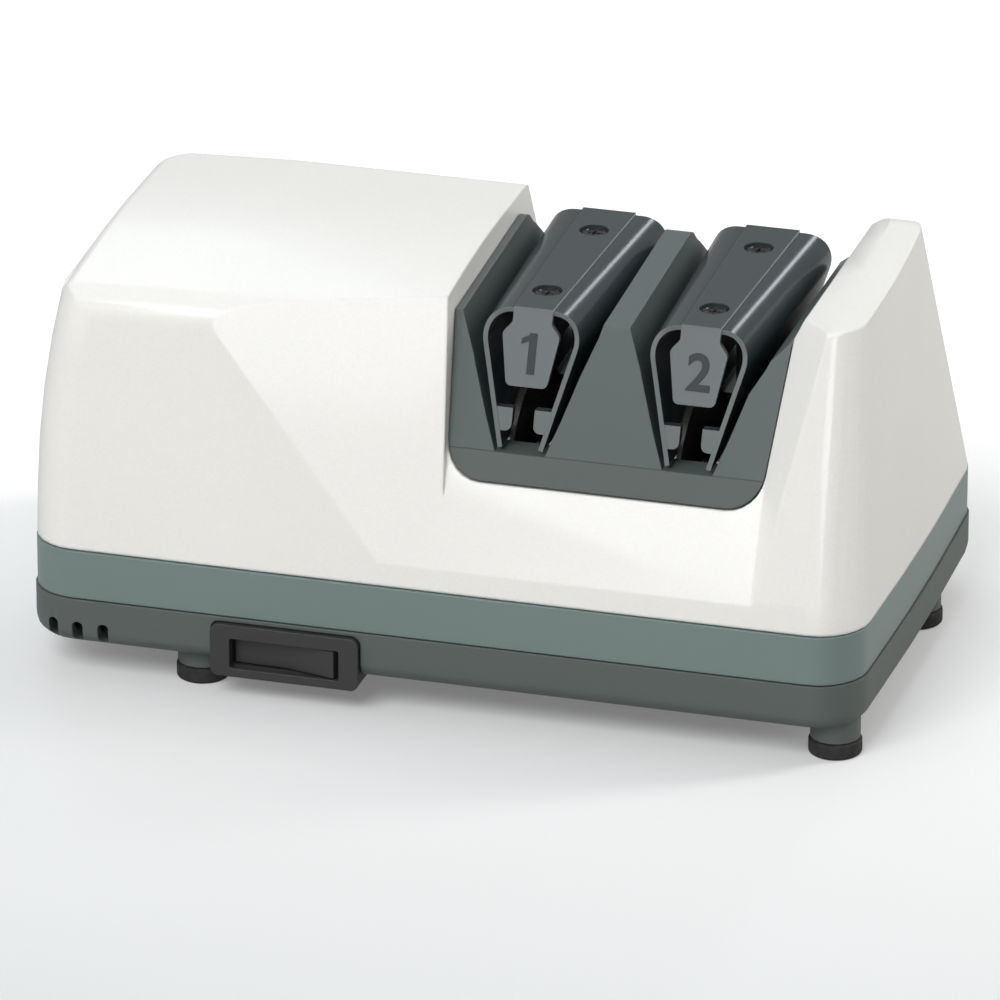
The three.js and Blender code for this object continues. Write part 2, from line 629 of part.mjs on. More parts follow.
const slotRun = edge.front + head.back - leanAt(level.crease);

function guideSlot(index, grow) {
  const topUp = index === 0 ? guideWall.topUp : guideWall.flareFrom;
  const stops = [2, 1, 0.5, 0, -1].map((share) => leanAt(level.crease) + slotRun * share);
  return loft(stops.map((y) => {
    const share = (y - leanAt(level.crease)) / slotRun;
    const side = (sign, up, run) => [
      [sign * (guideWall.low + guideWall.lowSpread * share), 0],
      [sign * (guideWall.waist + guideWall.waistSpread * share), guideWall.waistUp],
      [sign * (guideWall.hip + guideWall.hipSpread * share), guideWall.hipUp],
      [sign * guideWall.top, up],
      [sign * (guideWall.top + run), guideWall.flareUp],
      [sign * (guideWall.top + run), overrun * 2],
    ];
    const corners = [...side(1, topUp, index * guideWall.flareRun), ...side(-1, guideWall.topUp, 0).reverse()];
    const placed = corners.map(([x, z]) => [stages[index] + x, level.crease + z]);
    return [outline(placed, grow), planes.y(y)];
  }));
}

function insertBlock(grow) {
  const bottom = level.recess + fit - (grow < 0 ? overrun / 2 : 0);
  const crest = level.crease + insert.crestUp;
  const heel = level.crease + insert.heelUp;
  const side = [
    [apronAt(bottom), bottom],
    [backAt(bottom), bottom],
    [backAt(heel), heel, insert.heelRound],
    [edge.front + insert.crestRun, crest, insert.heelRound],
    [leanAt(level.crease + insert.frontUp), level.crease + insert.frontUp],
    [leanAt(level.crease), level.crease],
  ];
  const sides = recessSides(bottom, grow < 0 ? 0 : recess.corner);
  const across = [...sides, [recessRightAt(level.high), level.high], [recessLeftAt(level.high), level.high]];
  const slab = prism('x', side, body.left, body.right, grow);
  return slab.intersect(prism('y', across, body.front - overrun, body.back + overrun, grow - fit));
}

const discPocket = (x) => {
  const radius = disc.radius + disc.clearance;
  const small = disc.smallRadius + disc.clearance;
  const profile = [
    [0, -disc.hubOut - disc.clearance],
    [small, -disc.hubOut - disc.clearance],
    [radius, -disc.rimOut - disc.clearance / 2],
    [radius, disc.rimOut + disc.clearance / 2],
    [small, disc.hubOut + disc.clearance],
    [0, disc.hubOut + disc.clearance],
  ];
  return turned('x', profile, [x, shaftY, level.shaft]);
};

function guideInsert() {
  const solidTop = box(stages[1], body.right, body.front, body.back, level.crease + guideWall.hipUp, level.high);
  const hollow = cut(insertBlock(-insert.skin), [guideSlot(0, insert.skin), guideSlot(1, insert.skin), solidTop]);
  return cut(insertBlock(0), [guideSlot(0, 0), guideSlot(1, 0), hollow, ...stages.map(discPocket)]);
}

// Spring guide with its number bracket, post and screws

const backY = edge.front + head.back;

// Section of the guide in the leaning front plane or at its wider back end
function headLoft(grow, past) {
  const foot = level.crease + head.footUp;
  const corners = [
    [-head.footHalf, foot],
    [head.footHalf, foot],
    [head.topHalf, level.head, head.round],
    [-head.topHalf, level.head, head.round],
  ];
  const shape = outline(corners, grow);
  return (x) => loft([
    [shape, (a, z) => [x + a * (1 + head.spread), backY + past, z - past]],
    [shape, (a, z) => [x + a, leanAt(z) - past, z - past]],
  ]);
}

const leaning = (corners, x, from, to, grow = 0) => {
  const shape = outline(corners.map(([a, z, radius]) => [x + a, z, radius]), grow);
  return loft([to, from].map((depth) => [shape, (a, z) => [a, leanAt(z) + depth, z]]));
};

function numberBracket(x, grow) {
  const top = level.head + strip.raised;
  const bottom = top - strip.thick;
  const front = leanAt(level.head) - plate.proud;
  const across = [
    [x - strip.frontHalf, front],
    [x + strip.frontHalf, front],
    [x + strip.backHalf, backY + strip.overhang],
    [x - strip.backHalf, backY + strip.overhang],
  ];
  const face = [
    [-plate.footHalf, top - plate.footDrop, plate.round],
    [plate.footHalf, top - plate.footDrop, plate.round],
    [plate.shoulderHalf, top - plate.shoulderDrop, plate.round],
    [strip.frontHalf, top - plate.neckDrop, plate.round],
    [strip.frontHalf, top],
    [-strip.frontHalf, top],
    [-strip.frontHalf, top - plate.neckDrop, plate.round],
    [-plate.shoulderHalf, top - plate.shoulderDrop, plate.round],
  ];
  const flat = prism('z', across, bottom - grow, top + grow, grow);
  return flat.add(leaning(face, x, -plate.proud - grow, plate.thick - plate.proud + grow, grow));
}

const guideScrewPlaces = [0, 1].map((index) => leanAt(level.head) + guideScrew.fromFront + index * guideScrew.pitch);
const stripTop = level.head + strip.raised;
const underHead = stripTop - guideScrew.recessDepth;

function bracketPiece(x) {
  const holes = guideScrewPlaces.flatMap((y) => [
    rod('z', guideScrew.radius + runFit, level.crease, level.high, [x, y, 0], leastSegments),
    rod('z', guideScrew.recess, underHead, level.high, [x, y, 0], 20),
  ]);
  return cut(numberBracket(x, 0), holes);
}

function springGuide(x) {
  const foot = level.crease + head.footUp;
  const inside = headLoft(-head.wall, fit)(x).intersect(
    box(body.left, body.right, body.front - overrun, body.back + overrun, level.low, level.head - head.roofWall));
  const below = box(x - overrun, x + overrun, body.front, body.back, level.low, foot);
  const slope = (head.topHalf - head.footHalf) / (level.head - foot);
  const hookTop = level.crease + hook.top;
  const hookLow = hookTop - hook.height;
  const legAt = (z) => head.footHalf + (z - foot) * slope - head.wall / 2;
  const hooks = [-1, 1].map((sign) => leaning([
    [sign * hook.inner, hookLow, hook.round],
    [sign * legAt(hookLow), hookLow],
    [sign * legAt(hookTop), hookTop],
    [sign * hook.inner, hookTop],
  ], x, 0, hook.thick));
  const holes = guideScrewPlaces.map((y) =>
    rod('z', guideScrew.radius + runFit, level.crease, level.high, [x, y, 0], leastSegments));
  const shell = cut(headLoft(0, 0)(x), [inside, below, slitUnder(x)]);
  return cut(join([shell, ...hooks]), [numberBracket(x, seat), discPocket(x), ...holes]);
}

// Opens the guide between its legs down to the feet
function slitUnder(x) {
  const half = head.footHalf - head.wall;
  const foot = level.crease + head.footUp;
  const corners = [[-half, foot - fit * 2], [half, foot - fit * 2], [half, foot + head.wall * 3], [-half, foot + head.wall * 3]];
  const shape = outline(corners);
  return loft([
    [shape, (a, z) => [x + a * (1 + head.spread), backY + fit, z]],
    [shape, (a, z) => [x + a, leanAt(z) - fit, z]],
  ]);
}

function guidePost(x) {
  const top = level.head - head.roofWall - seat;
  const front = leanAt(level.head) + post.railFront;
  const legFront = edge.front + post.legFront;
  const legBack = edge.front + post.legBack;
  const rail = box(x - post.half, x + post.half, front, legBack, top - post.rail, top);
  const leg = box(x - post.half, x + post.half, legFront, legBack, level.crease + seat, top);
  const bores = guideScrewPlaces.map((y) =>
    rod('z', guideScrew.radius + runFit, top - post.rail - fit, level.high, [x, y, 0], leastSegments));
  return cut(rail.add(leg), bores);
}

function guideScrewPiece(x, y) {
  const base = underHead + seat;
  const profile = [
    [0, base - guideScrew.length],
    [guideScrew.radius, base - guideScrew.length],
    [guideScrew.radius, base],
    [guideScrew.headRadius, base],
    [guideScrew.headRadius * 0.85, base + guideScrew.headHeight * 0.6],
    [guideScrew.headRadius * 0.5, base + guideScrew.headHeight * 0.9],
    [0, base + guideScrew.headHeight],
  ];
  return turned('z', profile, [x, y, 0], leastSegments);
}

// Discs, spring and pins on the shaft

const axisPoint = (x) => [x, shaftY, level.shaft];
const pinOut = disc.hubOut - pin.depth + pin.radius + runFit;

function grindingDisc(x, side) {
  const profile = [
    [shaft.radius + runFit, disc.seatIn],
    [disc.hubRadius + disc.travel, disc.seatIn],
    [disc.dish, disc.rimIn],
    [disc.radius, disc.rimIn],
    [disc.radius, disc.rimOut],
    [disc.smallRadius, disc.coneOut],
    [disc.hubRadius, disc.coneOut - disc.travel],
    [disc.hubRadius, disc.hubOut],
    [shaft.radius + runFit, disc.hubOut],
  ].map(([radius, along]) => [radius, along * side]);
  const gap = pin.radius + runFit;
  const ends = [side * (disc.hubOut - pin.depth), side * (disc.hubOut + fit)].sort((a, b) => a - b);
  const notch = box(x + ends[0], x + ends[1], shaftY - gap, shaftY + gap, level.shaft - overrun / 2,
    level.shaft + overrun / 2);
  return turned('x', profile, axisPoint(x)).subtract(notch);
}

function discSpring(x) {
  const reach = disc.seatIn - spring.gap - spring.wire;
  class Helix extends THREE.Curve {
    getPoint(share) {
      const angle = share * spring.turns * 2 * Math.PI;
      const along = x + (share * 2 - 1) * reach;
      return new THREE.Vector3(along, shaftY + spring.radius * Math.cos(angle), level.shaft + spring.radius * Math.sin(angle));
    }
  }
  return wire(new Helix(), 12 * spring.turns, spring.wire);
}

// Round wire along a path
function wire(path, segments, radius) {
  const section = new THREE.Shape().absarc(0, 0, radius, 0, Math.PI * 2);
  return solid(new THREE.ExtrudeGeometry(section, { steps: segments, curveSegments: 3, extrudePath: path }));
}

const pinPlaces = stages.flatMap((x) => [x - pinOut, x + pinOut]);

function motorShaft() {
  const holes = pinPlaces.map((x) =>
    rod('z', pin.radius + seat, level.shaft - shaft.radius * 2, level.shaft + shaft.radius * 2, [x, shaftY, 0], 12));
  return cut(rod('x', shaft.radius, body.left + shaft.leftEnd, body.right - shaft.rightEnd, axisPoint(0), smallSegments), holes);
}

const drivePin = (x) => rod('z', pin.radius, level.shaft - pin.half, level.shaft + pin.half, [x, shaftY, 0], 12);

// Motor

const stackLeft = body.left + stack.fromLeft;
const stackRight = stackLeft + stackLength;
const boltPlaces = [-1, 1].map((sign) => [shaftY + sign * bolt.spread, level.shaft + sign * bolt.spread]);
const windowFront = shaftY + stack.window;
const limbFront = shaftY + stack.windowEnd;
const limbBack = limbFront + stack.limb;
const windowLow = level.shaft - stack.half + stack.arm;
const windowHigh = level.shaft + stack.half - stack.arm;

function motorStator() {
  const block = prism('x', rectangle(shaftY - stack.half, limbBack, level.shaft - stack.half, level.shaft + stack.half,
    stack.corner), stackLeft, stackRight);
  return cut(block, [
    rod('x', stack.bore, stackLeft - fit, stackRight + fit, axisPoint(0)),
    box(stackLeft - fit, stackRight + fit, windowFront, limbFront, windowLow, windowHigh),
    ...boltPlaces.map(([y, z]) => rod('x', bolt.radius + runFit, stackLeft - fit, stackRight + fit, [0, y, z], 12)),
  ]);
}

function coilFormer() {
  const [low, high] = [windowLow + fit, windowHigh - fit];
  const around = (grow, z0, z1) =>
    box(stackLeft - grow, stackRight + grow, limbFront - grow, limbBack + grow, z0, z1);
  const flange = coil.former + coil.build;
  const whole = join([
    around(coil.former, low, high),
    around(flange, low, low + coil.flange),
    around(flange, high - coil.flange, high),
  ]);
  return whole.subtract(around(runFit, low - fit, high + fit));
}

function motorCoil() {
  const [low, high] = [windowLow + fit + coil.flange + seat, windowHigh - fit - coil.flange - seat];
  const grow = coil.former + seat;
  const wound = coil.former + coil.build - coil.depth;
  const ring = (out, from, to) => prism('z', rectangle(stackLeft - out, stackRight + out, limbFront - out, limbBack + out,
    out), from, to);
  return ring(wound, low, high).subtract(box(stackLeft - grow, stackRight + grow, limbFront - grow, limbBack + grow,
    low - fit, high + fit));
}

function rotorCore() {
  const profile = [
    [shaft.radius + seat, -stack.ring],
    [stack.ringRadius, -stack.ring],
    [stack.ringRadius, 0],
    [stack.bore - stack.airGap, 0],
    [stack.bore - stack.airGap, stackLength],
    [stack.ringRadius, stackLength],
    [stack.ringRadius, stackLength + stack.ring],
    [shaft.radius + seat, stackLength + stack.ring],
  ];
  return turned('x', profile, axisPoint(stackLeft));
}

// One end bracket of the motor. Side is -1 at the left and 1 at the right.
function motorBracket(side) {
  const start = side < 0 ? stackLeft : stackRight;
  const inner = bracket.gap;
  const outer = inner + bracket.plate;
  const along = (from, to) => [start + side * from, start + side * to].sort((a, b) => a - b);
  const face = [
    [shaftY - bracket.half, level.trayFloor + seat],
    [shaftY + bracket.half, level.trayFloor + seat],
    [shaftY + bracket.half, level.shaft + bracket.half, bracket.round],
    [shaftY - bracket.topHalf, level.shaft + bracket.half, bracket.round],
    [shaftY - bracket.half, level.shaft - bracket.low, bracket.round],
  ];
  const flange = box(...along(inner, outer + bracket.foot), shaftY - bracket.half, shaftY + bracket.half,
    level.trayFloor + seat, level.trayFloor + bracket.footHeight);
  const boss = rod('x', bracket.bossRadius, ...along(inner, inner + bracket.bossLength), axisPoint(0), smallSegments);
  const spacers = boltPlaces.map(([y, z]) => rod('x', bolt.spacer, ...along(seat, outer), [0, y, z], 12));
  const bores = boltPlaces.map(([y, z]) => rod('x', bolt.radius + runFit, ...along(-fit, outer + fit), [0, y, z], 12));
  const bore = rod('x', bearing.radius + seat, ...along(inner - fit, inner + bracket.bossLength + fit), axisPoint(0), smallSegments);
  return cut(join([prism('x', face, ...along(inner, outer)), flange, boss, ...spacers]), [...bores, bore]);
}

function bearingPiece(from, length) {
  const profile = [
    [shaft.radius + runFit, 0],
    [bearing.radius, 0],
    [bearing.radius, length],
    [shaft.radius + runFit, length],
  ];
  return turned('x', profile, axisPoint(from), smallSegments);
}

function motorBolt([y, z]) {
  const outer = bracket.gap + bracket.plate;
  const left = stackLeft - outer - seat;
  const right = stackRight + outer + bolt.headHeight + fit;
  return rod('x', bolt.radius, left - fit, right, [0, y, z], 12)
    .add(rod('x', bolt.headRadius, left - bolt.headHeight, left, [0, y, z], 6));
}

function motorNut([y, z]) {
  const left = stackRight + bracket.gap + bracket.plate + seat;
  return rod('x', bolt.headRadius, left, left + bolt.headHeight, [0, y, z], 6)
    .subtract(rod('x', bolt.radius + seat, left - fit, left + bolt.headHeight + fit, [0, y, z], 12));
}

function coolingFan() {
  const left = body.left + shaft.leftEnd + fan.start;
  const hub = rod('x', fan.hubRadius, left, left + fan.length, axisPoint(0), smallSegments);
  const disk = rod('x', fan.radius, left, left + fan.plate, axisPoint(0), smallSegments);
  const blades = Array.from({ length: fan.count }, (_, i) => {
    const angle = 360 / fan.count * i;
    const blade = box(left, left + fan.length, -fan.blade / 2, fan.blade / 2, fan.hubRadius - fan.plate, fan.radius - fan.plate);
    return placed(blade, new THREE.Vector3(1, 0, 0), angle, [0, shaftY, level.shaft]);
  });
  const bore = rod('x', shaft.radius + seat, left - fit, left + fan.length + fit, axisPoint(0), smallSegments);
  return join([hub, disk, ...blades]).subtract(bore);
}

const standLeft = body.right - stand.fromRight;

function bearingStand() {
  const face = [
    [shaftY - stand.half, level.trayFloor + seat],
    [shaftY + stand.half, level.trayFloor + seat],
    [shaftY + stand.top, level.shaft + stand.top, stand.round],
    [shaftY - stand.top, level.shaft + stand.top, stand.round],
  ];
  const wall = prism('x', face, standLeft, standLeft + stand.plate);
  const flange = box(standLeft, standLeft + stand.foot, shaftY - stand.half, shaftY + stand.half, level.trayFloor + seat,
    level.trayFloor + stand.footHeight);
  return join([wall, flange]).subtract(
    rod('x', bearing.radius + seat, standLeft - fit, standLeft + stand.plate + fit, axisPoint(0), smallSegments));
}

add('top_cover', topCover(), 'shell');
add('trim_band', trimBand(), 'band');
add('base_tray', baseTray(), 'tray');
footPlaces.forEach((place, i) => add(`foot_${i + 1}`, rubberFoot(place), 'rubber'));
screwPlaces.forEach((place, i) => add(`base_screw_${i + 1}`, baseScrewPiece(place), 'steel'));
add('cord_bush', cordBush(), 'rubber');
add('switch_bezel', switchBezel(), 'bezel');
add('switch_body', switchBody(), 'bezel');
add('rocker_button', rockerButton(), 'bezel');
add('guide_insert', guideInsert(), 'insert');
stages.forEach((x, i) => {
  const name = `stage${i + 1}`;
  add(`${name}_spring_guide`, springGuide(x), 'guide');
  add(`${name}_number_bracket`, bracketPiece(x), 'plate');
  add(`${name}_guide_post`, guidePost(x), 'nylon');
  guideScrewPlaces.forEach((y, j) => add(`${name}_guide_screw_${j + 1}`, guideScrewPiece(x, y), 'steel'));
  add(`${name}_disc_left`, grindingDisc(x, -1), 'abrasive');
  add(`${name}_disc_right`, grindingDisc(x, 1), 'abrasive');
  add(`${name}_disc_spring`, discSpring(x), 'steel');
  add(`${name}_pin_left`, drivePin(x - pinOut), 'steel');
  add(`${name}_pin_right`, drivePin(x + pinOut), 'steel');
});
add('motor_shaft', motorShaft(), 'steel');
add('rotor_core', rotorCore(), 'iron');
add('cooling_fan', coolingFan(), 'nylon');
add('motor_stator', motorStator(), 'iron');
add('coil_former', coilFormer(), 'nylon');
add('motor_coil', motorCoil(), 'copper');
add('motor_bracket_left', motorBracket(-1), 'steel');
add('motor_bracket_right', motorBracket(1), 'steel');
add('bearing_left', bearingPiece(stackLeft - bracket.gap - bracket.bossLength, bracket.bossLength), 'brass');
add('bearing_right', bearingPiece(stackRight + bracket.gap, bracket.bossLength), 'brass');
boltPlaces.forEach((place, i) => add(`motor_bolt_${i + 1}`, motorBolt(place), 'steel'));
boltPlaces.forEach((place, i) => add(`motor_nut_${i + 1}`, motorNut(place), 'steel'));
add('bearing_stand', bearingStand(), 'nylon');
add('bearing_outboard', bearingPiece(standLeft, stand.plate), 'brass');

// The origin lies under the middle of everything.
const middle = new THREE.Box3().setFromObject(group).getCenter(new THREE.Vector3());
group.children.forEach((mesh) => mesh.geometry.translate(-middle.x, -middle.y, 0));

export default group;
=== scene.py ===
"""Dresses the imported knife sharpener: moulded cover, guides, discs, switch, drive, floor and lights."""

from math import cos, pi, radians, sin, tan

import bmesh
import bpy
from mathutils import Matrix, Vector


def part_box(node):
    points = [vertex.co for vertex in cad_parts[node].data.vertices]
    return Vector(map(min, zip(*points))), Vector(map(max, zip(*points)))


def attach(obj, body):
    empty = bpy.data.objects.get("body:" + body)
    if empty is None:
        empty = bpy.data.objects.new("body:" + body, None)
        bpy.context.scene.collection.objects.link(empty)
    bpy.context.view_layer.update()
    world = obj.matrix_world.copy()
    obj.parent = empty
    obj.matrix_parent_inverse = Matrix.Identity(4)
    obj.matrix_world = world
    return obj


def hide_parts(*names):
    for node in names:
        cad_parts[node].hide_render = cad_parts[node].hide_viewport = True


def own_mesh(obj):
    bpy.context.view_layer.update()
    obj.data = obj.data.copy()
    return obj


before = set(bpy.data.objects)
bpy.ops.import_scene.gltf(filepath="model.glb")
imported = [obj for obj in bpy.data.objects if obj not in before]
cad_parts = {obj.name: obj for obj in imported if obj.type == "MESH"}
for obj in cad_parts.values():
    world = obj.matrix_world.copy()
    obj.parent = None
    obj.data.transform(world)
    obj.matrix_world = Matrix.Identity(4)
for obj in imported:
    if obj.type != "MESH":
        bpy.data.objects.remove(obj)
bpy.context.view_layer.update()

bl_info = {
    "name": "Two-stage knife sharpener",
    "version": (1, 0, 0),
    "blender": (4, 5, 0),
    "location": "3D Viewport > Sidebar > Sharpener",
    "description": "Models the visible pieces of an electric knife sharpener over its packed frame",
    "category": "Add Mesh",
}

MM = 0.001
SQUARE_MM = MM * MM
TOUCH = 0.01 * MM


# Places taken from the frame


def middle_of(node, axis):
    """The middle of a frame node's box along one axis."""
    low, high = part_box(node)
    return (low[axis] + high[axis]) / 2


def half_width_of(node):
    """Half of a frame node's width along X, which is the radius of an upright round one."""
    low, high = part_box(node)
    return (high.x - low.x) / 2


def top_of(node):
    """The middle of a frame node's top."""
    return Vector((middle_of(node, 0), middle_of(node, 1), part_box(node)[1].z))


STAGE_X = [middle_of(f"stage{n}_number_bracket", 0) for n in (1, 2)]
GUIDE_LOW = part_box("stage1_spring_guide")[0]
PLATE_LOW, PLATE_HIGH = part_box("stage1_number_bracket")
AXIS_Y, AXIS_Z = middle_of("motor_shaft", 1), middle_of("motor_shaft", 2)
LEAN = radians(20.7)


def lean_y(z):
    """How far back the leaning front plane of the guides stands at a height."""
    return GUIDE_LOW.y + (z - GUIDE_LOW.z) * tan(LEAN)


# Sizes and colours that a user would change


def length_prop(name, text, value, low=0.0, high=0.5):
    return bpy.props.FloatProperty(
        name=name, description=text, default=value, min=low, max=high, unit="LENGTH", precision=4)


def colour_prop(name, text, value):
    return bpy.props.FloatVectorProperty(
        name=name, description=text, default=value, size=3, min=0.0, max=1.0, subtype="COLOR_GAMMA")


class SharpenerSizes(bpy.types.PropertyGroup):
    guide_wall: length_prop("Guide wall", "Wall thickness of the spring guides", 1.3 * MM)
    guide_round: length_prop("Guide round", "Radius of the spring guides' shoulders", 7.6 * MM)
    guide_edge: length_prop("Guide edge", "Rounding of the spring guides' edges", 0.25 * MM)
    plate_edge: length_prop("Plate edge", "Rounding of the number brackets' edges", 0.25 * MM)
    digit_height: length_prop("Digit height", "Height of the stage numbers", 11.0 * MM)
    digit_relief: length_prop("Digit relief", "How far the stage numbers stand off their plates", 0.18 * MM)
    foot_hollow: length_prop("Foot hollow", "Depth of the hollow under each foot", 0.8 * MM)
    foot_round: length_prop("Foot round", "Rounding of each foot's rims", 0.8 * MM)


class SharpenerColours(bpy.types.PropertyGroup):
    shell: colour_prop("Shell", "Pearl off-white of the cover", (0.945, 0.94, 0.926))
    band: colour_prop("Band", "Grey-green of the trim band", (0.45, 0.515, 0.507))
    tray: colour_prop("Tray", "Darker grey of the base tray", (0.34, 0.372, 0.36))
    insert: colour_prop("Insert", "Grey of the guide insert", (0.335, 0.377, 0.374))
    ledge: colour_prop("Ledge", "Grained grey of the insert's sloping front", (0.283, 0.318, 0.306))
    guide: colour_prop("Guide", "Slate of the spring guides", (0.2, 0.232, 0.25))
    strip: colour_prop("Strip", "Slate of the number brackets' long top", (0.21, 0.25, 0.255))
    plate: colour_prop("Plate", "Grey of the number plates", (0.415, 0.445, 0.455))
    # The rim colour is a paler copy of the guide's slate, painted light on the guides' front-facing faces.
    rim: colour_prop("Rim", "Grey of the guides' front edges and hooks", (0.4, 0.425, 0.43))
    digit: colour_prop("Digit", "Darker grey of the stage numbers", (0.165, 0.185, 0.2))
    # The floor colour is the near end of a painted fade: darker in front as painted shade, white behind as
    # painted light.
    floor: colour_prop("Floor", "Pale paper in front of the sharpener", (0.728, 0.737, 0.744))


def sizes():
    return bpy.context.scene.sharpener_sizes


def colours():
    return bpy.context.scene.sharpener_colours


def linear(colour):
    """A display colour as the linear colour, with its alpha, that a shader takes."""
    return tuple(c / 12.92 if c <= 0.04045 else ((c + 0.055) / 1.055) ** 2.4 for c in colour) + (1.0,)


# Modelling helpers


def deselect():
    if bpy.context.object and bpy.context.object.mode != "OBJECT":
        bpy.ops.object.mode_set(mode="OBJECT")
    bpy.ops.object.select_all(action="DESELECT")


def take(piece):
    """Makes a piece the active one and the only one selected."""
    deselect()
    piece.select_set(True)
    bpy.context.view_layer.objects.active = piece


def open_mesh(piece, kind="FACE"):
    take(piece)
    bpy.ops.object.mode_set(mode="EDIT")
    bpy.ops.mesh.select_mode(type=kind)
    bpy.ops.mesh.select_all(action="DESELECT")


def close_mesh():
    bpy.ops.object.mode_set(mode="OBJECT")


def pick(piece, test, kind="FACE"):
    """Selects, in edit mode, what the test holds for, and returns how many there are."""
    bpy.ops.mesh.select_mode(type=kind)
    bpy.ops.mesh.select_all(action="DESELECT")
    mesh = bmesh.from_edit_mesh(piece.data)
    parts = {"FACE": mesh.faces, "EDGE": mesh.edges, "VERT": mesh.verts}[kind]
    found = [part for part in parts if test(part)]
    for part in found:
        part.select_set(True)
    bmesh.update_edit_mesh(piece.data)
    return len(found)


def move(x=0.0, y=0.0, z=0.0):
    """Moves what is selected in edit mode."""
    bpy.ops.transform.translate(value=(x, y, z))


def extrude(x=0.0, y=0.0, z=0.0):
    """Extrudes the faces selected in edit mode."""
    bpy.ops.mesh.extrude_region_move(TRANSFORM_OT_translate={"value": (x, y, z)})


def modifier(piece, kind, **values):
    """Adds a modifier with these values and applies it."""
    take(piece)
    added = piece.modifiers.new(kind.title(), kind)
    for key, value in values.items():
        setattr(added, key, value)
    bpy.ops.object.modifier_apply(modifier=added.name)


def round_edges(piece, width, segments=2):
    """Bevels every edge that turns more than a moulded curve does."""
    modifier(piece, "BEVEL", width=width, segments=segments, limit_method="ANGLE", angle_limit=radians(50))


def smooth(piece, angle):
    take(piece)
    bpy.ops.object.shade_smooth_by_angle(angle=radians(angle))


def weigh(piece):
    """Turns the normals towards the large faces, so that flat sides shade flat."""
    modifier(piece, "WEIGHTED_NORMAL", keep_sharp=True, weight=80)


def settle(piece, name, look, body="housing", nodes=(), parts=()):
    """Applies the place of a finished piece, names it, finishes it and hangs it on its body.

    Parts is a list of (look, test), and a face takes the last look whose test holds for it."""
    take(piece)
    bpy.ops.object.transform_apply(location=True, rotation=True, scale=True)
    piece.name = name
    piece.data.name = name
    piece.data.materials.clear()
    piece.data.materials.append(look)
    for index, (other, test) in enumerate(parts, 1):
        piece.data.materials.append(other)
        for face in piece.data.polygons:
            if test(face):
                face.material_index = index
    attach(piece, body)
    if nodes:
        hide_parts(*nodes)


def merged_copy(node, flat=0.6):
    """A copy of a frame node's mesh with its loose triangles merged and its flat faces whole."""
    piece = bpy.data.objects.new(node + "_skin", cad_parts[node].data.copy())
    bpy.context.collection.objects.link(piece)
    take(piece)
    if piece.data.has_custom_normals:
        bpy.ops.mesh.customdata_custom_splitnormals_clear()
    open_mesh(piece, "VERT")
    bpy.ops.mesh.select_all(action="SELECT")
    bpy.ops.mesh.remove_doubles(threshold=0.004 * MM)
    bpy.ops.mesh.select_all(action="SELECT")
    bpy.ops.mesh.dissolve_limited(angle_limit=radians(flat))
    close_mesh()
    return piece


def join_pieces(main, others):
    take(main)
    for other in others:
        other.select_set(True)
    bpy.ops.object.join()


def block(low, high):
    """A box between two corners, as the start of a piece."""
    deselect()
    low, high = Vector(low), Vector(high)
    bpy.ops.mesh.primitive_cube_add(size=1.0, location=(low + high) / 2)
    piece = bpy.context.object
    piece.scale = high - low
    bpy.ops.object.transform_apply(location=True, rotation=True, scale=True)
    return piece


def disc_blank(radius, depth, centre, along_x=False, sides=64):
    """A round blank, upright or along X, as the start of a turned piece."""
    deselect()
    turn = (0, pi / 2 if along_x else 0, 0)
    bpy.ops.mesh.primitive_cylinder_add(
        vertices=sides, radius=radius, depth=depth, location=centre, rotation=turn)
    piece = bpy.context.object
    bpy.ops.object.transform_apply(location=True, rotation=True, scale=True)
    return piece


def cut_with(piece, *tools):
    for tool in tools:
        modifier(piece, "BOOLEAN", operation="DIFFERENCE", solver="EXACT", object=tool)
        bpy.data.objects.remove(tool)


# Materials


class Nodes:
    """Short ways to add and link the nodes of one tree."""

    def __init__(self, tree):
        self.tree = tree

    def feed(self, value, socket):
        """Links an output to a socket, or sets the socket's value."""
        if isinstance(value, bpy.types.NodeSocket):
            self.tree.links.new(value, socket)
        else:
            socket.default_value = value

    def node(self, kind, inputs=None, **values):
        made = self.tree.nodes.new("ShaderNode" + kind)
        for key, value in values.items():
            setattr(made, key, value)
        for key, value in (inputs or {}).items():
            self.feed(value, made.inputs[key])
        return made.outputs

    def math(self, operation, first, second=None, clamp=False):
        inputs = {0: first} if second is None else {0: first, 1: second}
        return self.node("Math", inputs, operation=operation, use_clamp=clamp)[0]

    def tint(self, colour, factor):
        """A colour times a factor."""
        return self.node("VectorMath", {0: colour, "Scale": factor}, operation="SCALE")[0]

    def mix(self, factor, first, second, kind="RGBA"):
        return self.node("Mix", {"Factor": factor, "A": first, "B": second}, data_type=kind)["Result"]

    def spread(self, value, low, high, start=0.0, end=1.0):
        """Runs from low to high while the value runs from start to end."""
        inputs = {"Value": value, "From Min": start, "From Max": end, "To Min": low, "To Max": high}
        return self.node("MapRange", inputs)[0]

    def noise(self, place, per_metre, detail, rough=0.5):
        inputs = {"Vector": place, "Scale": per_metre, "Detail": detail, "Roughness": rough}
        return self.node("TexNoise", inputs)["Fac"]

    def axis(self, place, letter):
        return self.node("SeparateXYZ", {"Vector": place})[letter]


